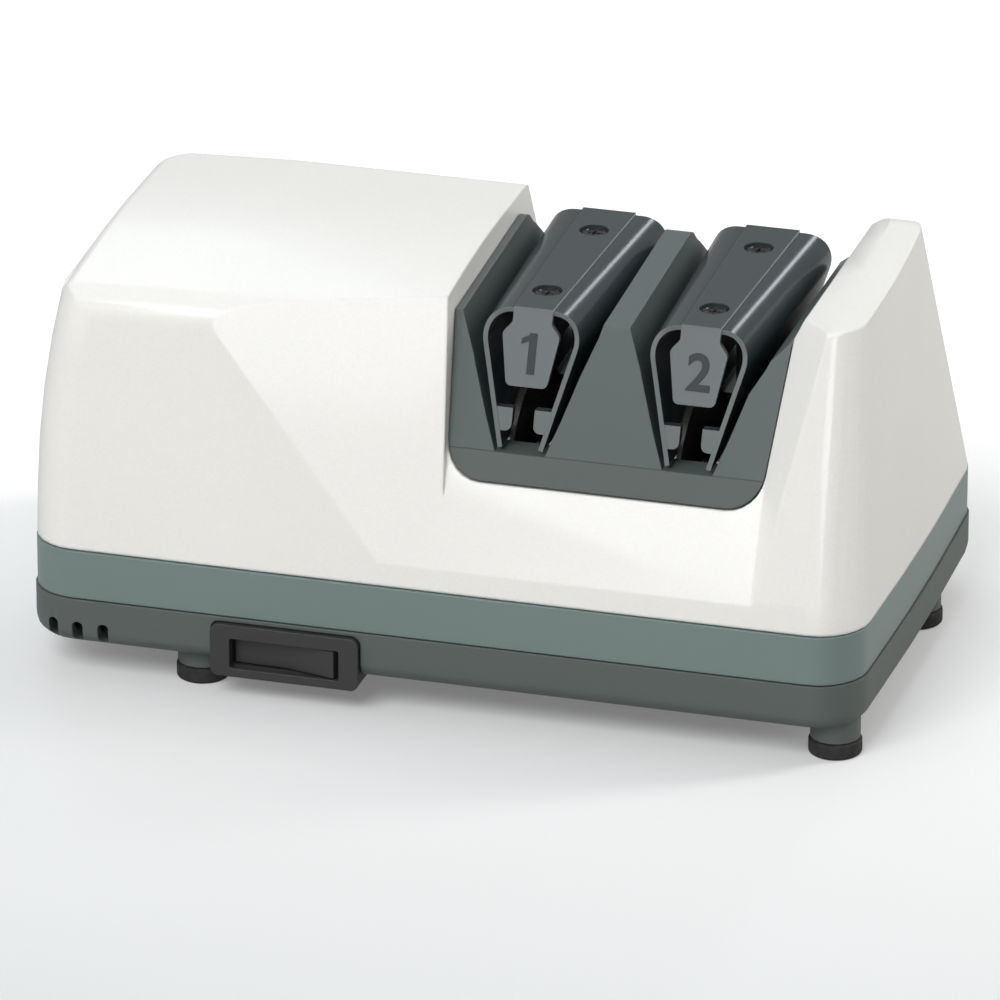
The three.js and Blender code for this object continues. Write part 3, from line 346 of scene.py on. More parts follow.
class Look(Nodes):
    """A material with its Principled shader and the finishes that several materials share."""

    def __init__(self, name, colour, rough, **values):
        self.material = bpy.data.materials.new(name)
        self.material.use_nodes = True
        super().__init__(self.material.node_tree)
        self.shader = self.tree.nodes["Principled BSDF"]
        self.to("Base Color", linear(colour))
        self.to("Roughness", rough)
        for key, value in values.items():
            self.to(key.replace("_", " "), value)
        self.place = self.node("TexCoord")["Object"]

    def to(self, socket, value):
        self.feed(value, self.shader.inputs[socket])

    def group(self, name, inputs):
        return self.node("Group", inputs, node_tree=bpy.data.node_groups[name])

    def moulded_surface(self, colour, rough, grain, drift, rub, depth=1.0):
        """Takes the roughness of the shared moulded surface, and returns its outputs."""
        surface = self.group("moulded_surface", {
            "Place": self.place, "Colour": linear(colour), "Grain per metre": grain, "Grain depth": depth,
            "Drift": drift, "Rub": rub, "Roughness": rough})
        self.to("Roughness", surface["Roughness"])
        return surface

    def worn_and_highlit_edges(self, colour, wear_and_highlight_colour, width, amount):
        """Takes the colour, with the paler one along the edges, as wear and as a painted highlight."""
        edges = self.group("edge_wear_and_highlight", {
            "Place": self.place, "Colour": colour, "Worn and highlit colour": linear(wear_and_highlight_colour), "Width": width,
            "Amount": amount})
        self.to("Base Color", edges["Colour"])

    def rounded_bump(self, height, strength, distance, radius):
        """Edges rounded in the shading, with a fine relief on top."""
        soft = self.node("Bevel", {"Radius": radius}, samples=6)["Normal"]
        inputs = {"Strength": strength, "Distance": distance, "Height": height, "Normal": soft}
        self.to("Normal", self.node("Bump", inputs)["Normal"])


def new_group(name, inputs, outputs):
    """A shader node group, with the outputs of its input node and the inputs of its output node."""
    tree = bpy.data.node_groups.new(name, "ShaderNodeTree")
    for key, (kind, value) in inputs.items():
        socket = tree.interface.new_socket(key, in_out="INPUT", socket_type="NodeSocket" + kind)
        if value is not None:
            socket.default_value = value
    for key, kind in outputs.items():
        tree.interface.new_socket(key, in_out="OUTPUT", socket_type="NodeSocket" + kind)
    return Nodes(tree), tree.nodes.new("NodeGroupInput").outputs, tree.nodes.new("NodeGroupOutput").inputs


def build_moulding_group():
    """Fine moulded grain, a slow drift of tone and faint rub marks, for every plastic."""
    nodes, given, out = new_group(
        "moulded_surface",
        {"Place": ("Vector", None), "Colour": ("Color", (0.5, 0.5, 0.5, 1)),
         "Grain per metre": ("Float", 2500.0), "Grain depth": ("Float", 1.0), "Drift": ("Float", 0.04),
         "Rub": ("Float", 0.3), "Roughness": ("Float", 0.4)},
        {"Colour": "Color", "Roughness": "Float", "Height": "Float"})
    grain = nodes.noise(given["Place"], given["Grain per metre"], detail=3.0, rough=0.6)
    blotches = nodes.noise(given["Place"], per_metre=22.0, detail=2.0)
    change = nodes.math("MULTIPLY", nodes.math("SUBTRACT", blotches, 0.5), given["Drift"])
    nodes.feed(nodes.tint(given["Colour"], nodes.math("ADD", change, 1.0)), out["Colour"])
    strokes = nodes.node("Mapping", {"Vector": given["Place"], "Scale": (60.0, 900.0, 300.0)})[0]
    rubbed = nodes.spread(nodes.noise(strokes, 1.0, detail=4.0, rough=0.7), 0.0, 1.0, start=0.58, end=0.8)
    duller = nodes.math("MULTIPLY", nodes.math("MULTIPLY", rubbed, given["Rub"]), 0.12)
    rough = nodes.math("MULTIPLY", given["Roughness"], nodes.spread(grain, 0.9, 1.1))
    nodes.feed(nodes.math("ADD", rough, duller, clamp=True), out["Roughness"])
    nodes.feed(nodes.math("MULTIPLY", grain, given["Grain depth"]), out["Height"])


def build_edge_group():
    """Edges paler from handling and from a painted highlight, found where the rounded normal leaves the face
    normal.
    """
    nodes, given, out = new_group(
        "edge_wear_and_highlight",
        {"Place": ("Vector", None), "Colour": ("Color", (0.5, 0.5, 0.5, 1)),
         "Worn and highlit colour": ("Color", (0.7, 0.7, 0.7, 1)), "Width": ("Float", 0.6 * MM),
         "Amount": ("Float", 0.4)},
        {"Colour": "Color"})
    soft = nodes.node("Bevel", {"Radius": given["Width"]}, samples=6)["Normal"]
    face = nodes.node("NewGeometry")["Normal"]
    agree = nodes.node("VectorMath", {0: soft, 1: face}, operation="DOT_PRODUCT")["Value"]
    edge = nodes.spread(agree, 0.0, 1.0, start=0.995, end=0.86)
    spots = nodes.noise(given["Place"], per_metre=420.0, detail=3.0, rough=0.65)
    broken = nodes.spread(spots, 0.25, 1.0, start=0.35, end=0.65)
    mask = nodes.math("MULTIPLY", nodes.math("MULTIPLY", edge, broken), given["Amount"], clamp=True)
    nodes.feed(nodes.mix(mask, given["Colour"], given["Worn and highlit colour"]), out["Colour"])


def build_turning_group():
    """Fine rings left by turning about the shaft, for metal that spins on the lathe."""
    nodes, given, out = new_group(
        "turned_rings",
        {"Place": ("Vector", None), "Centre": ("Vector", (0, 0, 0)), "Rings per metre": ("Float", 3000.0)},
        {"Height": "Float"})
    offset = nodes.node("VectorMath", {0: given["Place"], 1: given["Centre"]}, operation="SUBTRACT")[0]
    squeezed = nodes.node("VectorMath", {0: offset, 1: (0.35, 1.0, 1.0)}, operation="MULTIPLY")[0]
    reach = nodes.node("VectorMath", {0: squeezed}, operation="LENGTH")["Value"]
    rings = nodes.math("MULTIPLY", reach, given["Rings per metre"])
    noise = nodes.node("TexNoise", {"W": rings, "Scale": 1.0, "Detail": 2.0}, noise_dimensions="1D")
    nodes.feed(noise["Fac"], out["Height"])


def moulded(name, colour, rough, grain=2500.0, depth=1.0, drift=0.04, rub=0.3, bump=0.05, edge=0.5 * MM,
            wear_and_highlight=0.35):
    """A moulded plastic with its own grain, drift, rub, and edges paler from wear and from a painted
    highlight.
    """
    look = Look(name, colour, rough)
    surface = look.moulded_surface(colour, rough, grain, drift, rub, depth)
    wear_and_highlight_colour = tuple(min(1.0, c * 1.22 + 0.03) for c in colour)
    look.worn_and_highlit_edges(surface["Colour"], wear_and_highlight_colour, width=edge, amount=wear_and_highlight)
    look.rounded_bump(surface["Height"], bump, distance=0.05 * MM, radius=edge)
    return look.material


def metal(name, colour, rough, per_metre=3000.0, bump=0.06):
    """A turned or drawn metal with fine rings and paler edges."""
    look = Look(name, colour, rough, Metallic=1.0)
    rings = look.group("turned_rings", {
        "Place": look.place, "Centre": (0.0, AXIS_Y, AXIS_Z), "Rings per metre": per_metre})["Height"]
    tinted = look.tint(linear(colour)[:3], look.spread(rings, 0.82, 1.12))
    wear_and_highlight_colour = tuple(min(1.0, c * 1.2) for c in colour)
    look.worn_and_highlit_edges(tinted, wear_and_highlight_colour, width=0.3 * MM, amount=0.3)
    look.to("Roughness", look.spread(rings, rough * 0.8, rough * 1.25))
    look.rounded_bump(rings, bump, distance=0.03 * MM, radius=0.3 * MM)
    return look.material


def pearl_shell(colour):
    """Pearl off-white shell: fine mica flecks under a soft clear gloss."""
    rough = 0.34
    look = Look("pearl_shell", colour, rough, Coat_Weight=0.25, Coat_Roughness=0.12)
    surface = look.moulded_surface(colour, rough, grain=1400.0, drift=0.05, rub=0.25)
    flecks = look.node("TexVoronoi", {"Vector": look.place, "Scale": 2600.0})["Color"]
    flecked = look.tint(surface["Colour"], look.spread(flecks, 0.965, 1.02))
    look.worn_and_highlit_edges(flecked, wear_and_highlight_colour=(0.97, 0.965, 0.95), width=0.9 * MM, amount=0.3)
    look.rounded_bump(surface["Height"], 0.035, distance=0.05 * MM, radius=1.1 * MM)
    return look.material


def grit_metal():
    """Metal cone with a bonded layer of fine abrasive: sparkling points on a matt grey ground."""
    look = Look("abrasive_cone", (0.45, 0.45, 0.44), 0.45, Metallic=0.85)
    grit = look.node("TexVoronoi", {"Vector": look.place, "Scale": 2200.0})
    ground = look.noise(look.place, per_metre=900.0, detail=4.0)
    tone = look.spread(grit["Color"], 0.62, 1.2)
    look.to("Base Color", look.tint(linear((0.47, 0.465, 0.455))[:3], tone))
    look.to("Roughness", look.spread(ground, 0.28, 0.62))
    look.rounded_bump(grit["Distance"], 0.35, distance=0.08 * MM, radius=0.25 * MM)
    return look.material


def stacked_iron():
    """Punched iron sheets pressed together: thin dark lines across the stack."""
    sheet = 0.5 * MM
    look = Look("stacked_iron", (0.43, 0.43, 0.44), 0.5, Metallic=0.9)
    step = look.math("FRACT", look.math("MULTIPLY", look.axis(look.place, "X"), 1 / sheet))
    line = look.spread(step, 0.35, 1.0, end=0.25)
    blotch = look.noise(look.place, per_metre=160.0, detail=3.0)
    tone = look.math("MULTIPLY", line, look.spread(blotch, 0.75, 1.15))
    look.to("Base Color", look.tint(linear((0.46, 0.45, 0.45))[:3], tone))
    look.rounded_bump(line, 0.3, distance=0.05 * MM, radius=0.3 * MM)
    return look.material


def wound_copper():
    """Enamelled wire wound in level turns round its former, its colour darkened in the grooves between the
    turns as painted shade.
    """
    wire = 0.55 * MM
    look = Look("wound_copper", (0.66, 0.36, 0.2), 0.3, Metallic=0.8)
    wave = look.math("SINE", look.math("MULTIPLY", look.axis(look.place, "Z"), 2 * pi / wire))
    # The colour follows the wave of the bump, darker in the grooves as painted shade.
    tone = look.spread(wave, 0.35, 1.1, start=-1.0)
    look.to("Base Color", look.tint(linear((0.7, 0.4, 0.22))[:3], tone))
    look.rounded_bump(wave, 0.7, distance=0.12 * MM, radius=0.3 * MM)
    return look.material


def matt_rubber():
    """Black rubber with a dusty bloom."""
    look = Look("matt_rubber", (0.12, 0.12, 0.12), 0.8)
    bloom = look.noise(look.place, per_metre=500.0, detail=5.0, rough=0.7)
    dust = look.spread(bloom, 0.0, 0.35, start=0.4, end=0.75)
    look.to("Base Color", look.mix(dust, linear((0.13, 0.13, 0.13)), linear((0.32, 0.315, 0.3))))
    look.rounded_bump(bloom, 0.25, distance=0.08 * MM, radius=0.5 * MM)
    return look.material


def build_looks():
    tones = colours()
    return {
        "shell": pearl_shell(tones.shell),
        "band": moulded("grey_band", tones.band, 0.36, grain=1800.0, drift=0.05),
        "tray": moulded("grained_tray", tones.tray, 0.52, grain=1500.0, drift=0.08, rub=0.5, bump=0.22),
        "insert": moulded("grey_insert", tones.insert, 0.38, grain=1700.0, drift=0.06, bump=0.07,
                          edge=0.4 * MM),
        "ledge": moulded("grained_ledge", tones.ledge, 0.52, grain=1300.0, drift=0.08, bump=0.25,
                         edge=0.4 * MM),
        # The paler edges of the guide, plate, strip and rim looks are partly wear and partly a painted
        # highlight.
        "guide": moulded("gloss_guide", tones.guide, 0.21, grain=700.0, depth=0.5, drift=0.08, rub=0.2,
                         bump=0.015, edge=0.3 * MM, wear_and_highlight=0.5),
        "plate": moulded("satin_plate", tones.plate, 0.34, grain=2200.0, drift=0.06, bump=0.08,
                         edge=0.25 * MM, wear_and_highlight=0.55),
        "strip": moulded("slate_strip", tones.strip, 0.4, grain=2000.0, drift=0.08, bump=0.06,
                         edge=0.25 * MM, wear_and_highlight=0.8),
        # The rim look is painted light: a paler slate on the guides' front-facing faces.
        "rim": moulded("guide_rim_painted_light", tones.rim, 0.36, grain=2000.0, bump=0.06, edge=0.2 * MM, wear_and_highlight=0.6),
        # The pale edge look is a painted highlight along the bracket strips' right edges.
        "edge": moulded("painted_highlight_edge", (0.7, 0.73, 0.75), 0.4, grain=2000.0, edge=0.1 * MM, wear_and_highlight=0.2),
        "digit": moulded("dark_digit", tones.digit, 0.4, bump=0.1, edge=0.1 * MM, wear_and_highlight=0.2),
        "bezel": moulded("dark_bezel", (0.2, 0.205, 0.2), 0.42, grain=1800.0, bump=0.15, edge=0.4 * MM),
        "nylon": moulded("natural_nylon", (0.84, 0.825, 0.77), 0.5, grain=800.0, drift=0.12, bump=0.1),
        "screw": moulded("black_screw", (0.045, 0.047, 0.05), 0.3, grain=1500.0, edge=0.2 * MM, wear_and_highlight=0.15),
        "rubber": matt_rubber(),
        "steel": metal("bright_steel", (0.72, 0.72, 0.725), 0.26),
        "brass": metal("sintered_brass", (0.69, 0.55, 0.31), 0.42, per_metre=1500.0, bump=0.15),
        "abrasive": grit_metal(),
        "iron": stacked_iron(),
        "copper": wound_copper(),
    }


# The finish of each frame node, by the first of these words that its name holds
FINISHES = (
    ("top_cover", "shell"), ("trim_band", "band"), ("base_tray", "tray"), ("foot_", "rubber"),
    ("base_screw", "steel"), ("cord_bush", "rubber"), ("switch_", "bezel"), ("rocker", "bezel"),
    ("guide_insert", "insert"), ("spring_guide", "guide"), ("number_bracket", "plate"),
    # The guide posts take the dark bezel plastic as painted shade for the shaded inside of the guides.
    ("guide_post", "bezel"), ("guide_screw", "screw"), ("disc_spring", "steel"), ("_disc_", "abrasive"),
    ("_pin_", "steel"), ("motor_shaft", "steel"), ("rotor_core", "iron"), ("cooling_fan", "nylon"),
    ("motor_stator", "iron"), ("coil_former", "nylon"), ("motor_coil", "copper"), ("motor_bracket", "steel"),
    ("bearing_stand", "nylon"), ("bearing_", "brass"), ("motor_bolt", "steel"), ("motor_nut", "steel"),
)
LOOKS = {}


def finish_of(name):
    for word, finish in FINISHES:
        if word in name:
            return finish
    raise ValueError(f"no finish for {name}")


class SHARPENER_OT_finishes(bpy.types.Operator):
    """Builds the shared groups and materials, and gives every frame node its own finish"""
    bl_idname = "sharpener.finishes"
    bl_label = "Finishes"

    def execute(self, context):
        build_moulding_group()
        build_edge_group()
        build_turning_group()
        LOOKS.update(build_looks())
        for name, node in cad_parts.items():
            node.data.materials.clear()
            node.data.materials.append(LOOKS[finish_of(name)])
        return {"FINISHED"}


# Camera, floor and lights

CAMERA_PLACE = (0.6558, -2.2458, 1.0364)
CAMERA_AZIMUTH, CAMERA_ELEVATION = radians(16.332), radians(23.143)
FOCAL_LENGTH, SENSOR_WIDTH = 337.0, 36.0
FLOOR_SIZE, FLOOR_MIDDLE = 12.0, (0.0, 2.0, 0.0)
# White of the paper far behind is painted light at the end of the floor's fade.
FAR_PAPER_PAINTED_LIGHT = (0.985, 0.986, 0.988)
PAPER_BOUNCE = (0.45, 0.45, 0.44, 1.0)
WHITE = (1.0, 1.0, 1.0, 1.0)
AIR_TINT = (1.0, 0.985, 0.95, 1.0)
DIM_SIDE = (0.73, -0.66, -0.15)
MACHINE, ROOF, FIN, HEADS = (0.0, 0.0, 0.06), (-0.07, 0.0, 0.116), (0.05, 0.0, 0.09), (0.04, 0.0, 0.11)

# Name, place, aim, width and height in metres, watts and colour of each lamp
LAMPS = (
    ("top_softbox", (-0.15, 0.35, 1.5), MACHINE, (1.3, 1.0), 2.0, (0.7, 0.87, 1.0)),
    ("key_softbox", (-0.3, -1.4, 1.4), MACHINE, (1.1, 0.9), 21.3, (0.985, 0.993, 1.0)),
    ("roof_card", (-0.876, 1.497, 1.35), ROOF, (0.6, 0.6), 2.5, (0.8, 0.92, 1.0)),
    ("front_card", (0.5, -2.3, 0.42), MACHINE, (0.5, 0.4), 6.0, (1.0, 1.0, 1.0)),
    ("left_softbox", (-1.5, -1.0, 1.1), MACHINE, (0.9, 0.9), 3.0, (1.0, 1.0, 1.0)),
    ("right_strip", (1.1, 0.6, 0.8), FIN, (0.25, 1.0), 8.5, (1.0, 0.99, 0.96)),
    ("back_strip", (0.15, 1.6, 0.85), HEADS, (0.16, 0.4), 1.4, (0.92, 0.95, 1.0)),
)


class SHARPENER_OT_stage(bpy.types.Operator):
    """Places the camera, the pale floor and the soft studio lights"""
    bl_idname = "sharpener.stage"
    bl_label = "Stage"

    def execute(self, context):
        context.scene.view_settings.view_transform = "Standard"
        self.camera(context.scene)
        self.floor()
        self.air(context.scene)
        for lamp in LAMPS:
            self.lamp(context.scene, *lamp)
        return {"FINISHED"}

    def camera(self, scene):
        lens = bpy.data.cameras.new("studio_camera")
        lens.lens = FOCAL_LENGTH
        lens.sensor_width = SENSOR_WIDTH
        lens.clip_end = 20.0
        scene.camera = bpy.data.objects.new("studio_camera", lens)
        scene.collection.objects.link(scene.camera)
        scene.camera.location = CAMERA_PLACE
        scene.camera.rotation_euler = (pi / 2 - CAMERA_ELEVATION, 0.0, CAMERA_AZIMUTH)

    def floor(self):
        deselect()
        bpy.ops.mesh.primitive_plane_add(size=FLOOR_SIZE, location=FLOOR_MIDDLE)
        floor = bpy.context.object
        open_mesh(floor)
        bpy.ops.mesh.select_all(action="SELECT")
        bpy.ops.mesh.subdivide(number_cuts=3)
        close_mesh()
        bpy.ops.object.transform_apply(location=True, rotation=True, scale=True)
        floor.name = "paper_floor"
        floor.data.materials.append(self.paper())

    def paper(self):
        """Paper that the camera sees grey in front and white behind as painted shade and light, and that
        glows a little as painted light.
        """
        near = colours().floor
        look = Look("paper_floor", near, 0.75, Specular_IOR_Level=0.1)
        # The fade from grey in front to white behind is painted shade and light.
        painted_fade = look.spread(look.axis(look.place, "Y"), 0.0, 1.0, start=-0.45, end=0.25)
        speck = look.spread(look.noise(look.place, per_metre=300.0, detail=3.0), 0.995, 1.005)
        paper = look.tint(look.mix(painted_fade, linear(near), linear(FAR_PAPER_PAINTED_LIGHT)), speck)
        rays = look.node("LightPath")
        look.to("Base Color", look.mix(rays["Is Camera Ray"], PAPER_BOUNCE, paper))
        seen = look.math("MAXIMUM", rays["Is Camera Ray"], rays["Is Glossy Ray"])
        # The glow for the camera, stronger behind, is painted light.
        power = look.math("MULTIPLY", seen, look.spread(painted_fade, 0.1, 0.2))
        glow = look.node("Emission", {"Color": WHITE, "Strength": power})[0]
        total = look.node("AddShader", {0: look.shader.outputs[0], 1: glow})[0]
        look.feed(total, look.tree.nodes["Material Output"].inputs["Surface"])
        return look.material

    def air(self, scene):
        """A world that looks white, and lights softly, less from one side."""
        scene.world = bpy.data.worlds.new("studio_air")
        scene.world.use_nodes = True
        nodes = Nodes(scene.world.node_tree)
        background = nodes.tree.nodes["Background"].inputs
        rays = nodes.node("LightPath")
        seen = nodes.math("MAXIMUM", rays["Is Camera Ray"], rays["Is Transmission Ray"])
        way = nodes.node("TexCoord")["Generated"]
        aside = nodes.node("VectorMath", {0: way, 1: DIM_SIDE}, operation="DOT_PRODUCT")["Value"]
        light = nodes.spread(aside, 0.38, 0.12, start=0.3, end=0.85)
        nodes.feed(nodes.mix(seen, AIR_TINT, WHITE), background["Color"])
        nodes.feed(nodes.mix(seen, light, 1.0, kind="FLOAT"), background["Strength"])

    def lamp(self, scene, name, place, aim, size, watts, colour):
        light = bpy.data.lights.new(name, "AREA")
        light.shape = "RECTANGLE"
        light.size, light.size_y = size
        light.energy = watts
        light.color = colour
        holder = bpy.data.objects.new(name, light)
        scene.collection.objects.link(holder)
        holder.location = place
        holder.rotation_euler = (Vector(aim) - Vector(place)).to_track_quat("-Z", "Y").to_euler()


# Outer shell


class SHARPENER_OT_shell(bpy.types.Operator):
    """Finishes the cover, the trim band, the base tray and the guide insert"""
    bl_idname = "sharpener.shell"
    bl_label = "Shell"

    SMOOTH = 34.0
    SEAM_WIDTH = 0.17 * MM
    SEAM_REACH = 0.25 * MM
    SEAM_AREA = 20 * SQUARE_MM
    SEAM_TURN = (radians(4.0), radians(9.0))
    RIDGE_TURN = radians(1.9)
    FOLD_TURN = radians(4.0)
    BROAD_AREA = 600 * SQUARE_MM
    FACET_ASIDE, FACET_FRONT = (0.18, 0.3), (-0.95, -0.9)
    STEEP, FOLD_SHIFT = 0.3, 0.025

    def execute(self, context):
        for node, finish in (("top_cover", "shell"), ("trim_band", "band"), ("base_tray", "tray"),
                             ("guide_insert", "insert")):
            skin = merged_copy(node)
            parts = []
            if node == "top_cover":
                self.sharpen_creases(skin)
            if node == "guide_insert":
                parts = self.line_seam(skin)
            smooth(skin, self.SMOOTH)
            weigh(skin)
            settle(skin, node + "_moulded", LOOKS[finish], nodes=(node,), parts=parts)
        return {"FINISHED"}

    def line_seam(self, skin):
        """Lays a fine line along the shallow crease of the insert's front, and returns the looks round it."""
        open_mesh(skin, "EDGE")
        pick(skin, self.is_seam, "EDGE")
        height = min(e.verts[0].co.z for e in bmesh.from_edit_mesh(skin.data).edges if e.select)
        bpy.ops.mesh.bevel(offset=self.SEAM_WIDTH, segments=1)
        close_mesh()
        return [
            (LOOKS["ledge"], lambda face: face.normal.y < -0.6 and face.center.z < height),
            (LOOKS["digit"], lambda face: face.normal.y < -0.8 and face.area < self.SEAM_AREA
             and abs(face.center.z - height) < self.SEAM_REACH),
        ]

    def is_seam(self, edge):
        if len(edge.link_faces) != 2 or edge.is_convex:
            return False
        first, second = (face.normal for face in edge.link_faces)
        least, most = self.SEAM_TURN
        return least < first.angle(second) < most and max(first.y, second.y) < -0.8

    def sharpen_creases(self, skin):
        """Keeps the shallow ridges crisp: round the facet, along the lip and up the fold of the roof."""
        open_mesh(skin, "EDGE")
        pick(skin, self.is_crease, "EDGE")
        bpy.ops.mesh.mark_sharp()
        close_mesh()

    def is_crease(self, edge):
        if len(edge.link_faces) != 2 or not edge.is_convex:
            return False
        first, second = (face.normal for face in edge.link_faces)
        turn = first.angle(second)
        facet = self.is_facet(first) or self.is_facet(second)
        broad = min(face.calc_area() for face in edge.link_faces) > self.BROAD_AREA
        steep = max(abs(first.x), abs(second.x)) > self.STEEP
        fold = abs(first.x - second.x) > self.FOLD_SHIFT and turn < self.FOLD_TURN
        return turn > self.RIDGE_TURN and not steep and (facet or broad or fold)

    def is_facet(self, normal):
        """Whether a face looks the way of the slanted facet on the cover's front."""
        aside, front = self.FACET_ASIDE, self.FACET_FRONT
        return aside[0] < normal.x < aside[1] and front[0] < normal.y < front[1]


# Spring guides, number brackets and their screws


class SHARPENER_OT_guides(bpy.types.Operator):
    """Models the two spring guides as bent walls with inward hooks"""
    bl_idname = "sharpener.guides"
    bl_label = "Spring guides"

    START_HALF = 10 * MM
    LONG_EDGE = 20 * MM
    FOOT_HALF, TOP_HALF = 6.2 * MM, 15.4 * MM
    WALL_RISE = 35.0 * MM
    REAR_SPREAD = 1.24
    SHOULDER_SHARE = 1.296
    SHOULDER_STEPS = 12
    RIM_DEPTH = 2.2 * MM
    WELL_RADIUS, WELL_DEPTH = 4.6 * MM, 4.0 * MM
    POCKET_RADIUS, POCKET_WIDTH = 29.6 * MM, 14.2 * MM
    CONE_WIDTH, CONE_SHARE = 9.5 * MM, 0.71
    HOOK_FOOT, HOOK_TOP = 4.3 * MM, 10.1 * MM
    HOOK_TIP, HOOK_ROOT = 3.0 * MM, 8.0 * MM
    HOOK_THICK, HOOK_SINK, HOOK_ROUND = 2.4 * MM, 0.6 * MM, 1.8 * MM

    def execute(self, context):
        for n, x in enumerate(STAGE_X, 1):
            self.guide(n, x)
        return {"FINISHED"}

    def guide(self, n, x):
        low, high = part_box(f"stage{n}_spring_guide")
        piece = block((x - self.START_HALF, low.y, low.z), (x + self.START_HALF, high.y, high.z))
        open_mesh(piece, "VERT")
        for rear in (False, True):
            for upper in (False, True):
                self.spread_corners(piece, x, low, high, rear, upper)
        middle = (high.z + low.z) / 2
        pick(piece, lambda e: all(v.co.z > middle for v in e.verts)
             and abs(e.verts[0].co.y - e.verts[1].co.y) > self.LONG_EDGE, "EDGE")
        bpy.ops.mesh.bevel(offset=sizes().guide_round * self.SHOULDER_SHARE, segments=self.SHOULDER_STEPS,
                           profile=0.5, clamp_overlap=False)
        pick(piece, lambda f: abs(f.normal.y) > 0.7 or f.normal.z < -0.7)
        bpy.ops.mesh.delete(type="FACE")
        close_mesh()
        modifier(piece, "SOLIDIFY", thickness=sizes().guide_wall, offset=-1.0, use_even_offset=True)
        hooks = [self.hook(x, sign, low.z) for sign in (-1, 1)]
        pocket = self.disc_pocket(x)
        wells = [disc_blank(self.WELL_RADIUS, self.WELL_DEPTH, top_of(f"stage{n}_guide_screw_{k}"))
                 for k in (1, 2)]
        cut_with(piece, pocket, *wells)
        join_pieces(piece, hooks)
        round_edges(piece, sizes().guide_edge)
        smooth(piece, angle=40.0)
        weigh(piece)
        # The front-facing faces take the paler rim look as painted light.
        settle(piece, f"stage{n}_guide_wall", LOOKS["guide"], nodes=(f"stage{n}_spring_guide",),
               parts=[(LOOKS["rim"], self.is_lit_rim)])

    def spread_corners(self, piece, x, low, high, rear, upper):
        """Takes two corners of the starting block to the guide's own width and to its leaning front."""
        y, z = (high.y if rear else low.y), (high.z if upper else low.z)
        half = (self.TOP_HALF if upper else self.FOOT_HALF) * (self.REAR_SPREAD if rear else 1.0)
        goal_y = y if rear else lean_y(z)
        for sign in (-1, 1):
            corner = Vector((x + sign * self.START_HALF, y, z))
            if pick(piece, lambda v: (v.co - corner).length < TOUCH, "VERT") != 1:
                raise RuntimeError("a corner of the spring guide wasn't found")
            move(sign * (half - self.START_HALF), goal_y - y)

    def is_lit_rim(self, face):
        """The front edges of the bent wall and the fronts of the hooks, which face the front and take a paler
        slate as painted light.
        """
        facing = face.normal.y * cos(LEAN) - face.normal.z * sin(LEAN)
        return face.center.y < lean_y(face.center.z) + self.RIM_DEPTH and facing < -0.6

    def disc_pocket(self, x):
        """The cutting tool that frees the grinding discs: a disc with a cone on both sides."""
        pocket = disc_blank(self.POCKET_RADIUS, self.POCKET_WIDTH, (x, AXIS_Y, AXIS_Z), along_x=True)
        open_mesh(pocket)
        for sign in (-1, 1):
            pick(pocket, lambda f: f.normal.x * sign > 0.9)
            extrude(sign * self.CONE_WIDTH)
            bpy.ops.transform.resize(value=(1, self.CONE_SHARE, self.CONE_SHARE),
                                     center_override=(x, AXIS_Y, AXIS_Z))
        close_mesh()
        return pocket

    def hook(self, x, sign, foot):
        """An inward tab at the front of one wall, sheared to the wall's slope and to the lean."""
        low, high = foot + self.HOOK_FOOT, foot + self.HOOK_TOP
        slope = (self.TOP_HALF - self.FOOT_HALF) / self.WALL_RISE
        left, right = sorted((x + sign * self.HOOK_TIP, x + sign * self.HOOK_ROOT))
        halfway = (self.HOOK_TIP + self.HOOK_ROOT) / 2
        tab = block((left, lean_y(low), low), (right, lean_y(low) + self.HOOK_THICK, high))
        open_mesh(tab, "VERT")
        for z in (low, high):
            wall = self.FOOT_HALF + (z - foot) * slope
            pick(tab, lambda v: abs(v.co.z - z) < TOUCH and abs(v.co.x - x) > halfway, "VERT")
            move(sign * (wall - self.HOOK_SINK - self.HOOK_ROOT))
        pick(tab, lambda v: abs(v.co.z - high) < TOUCH, "VERT")
        move(y=lean_y(high) - lean_y(low))
        pick(tab, lambda e: all(abs(v.co.x - x) < halfway and v.co.z < low + TOUCH for v in e.verts), "EDGE")
        bpy.ops.mesh.bevel(offset=self.HOOK_ROUND, segments=5)
        close_mesh()
        return tab


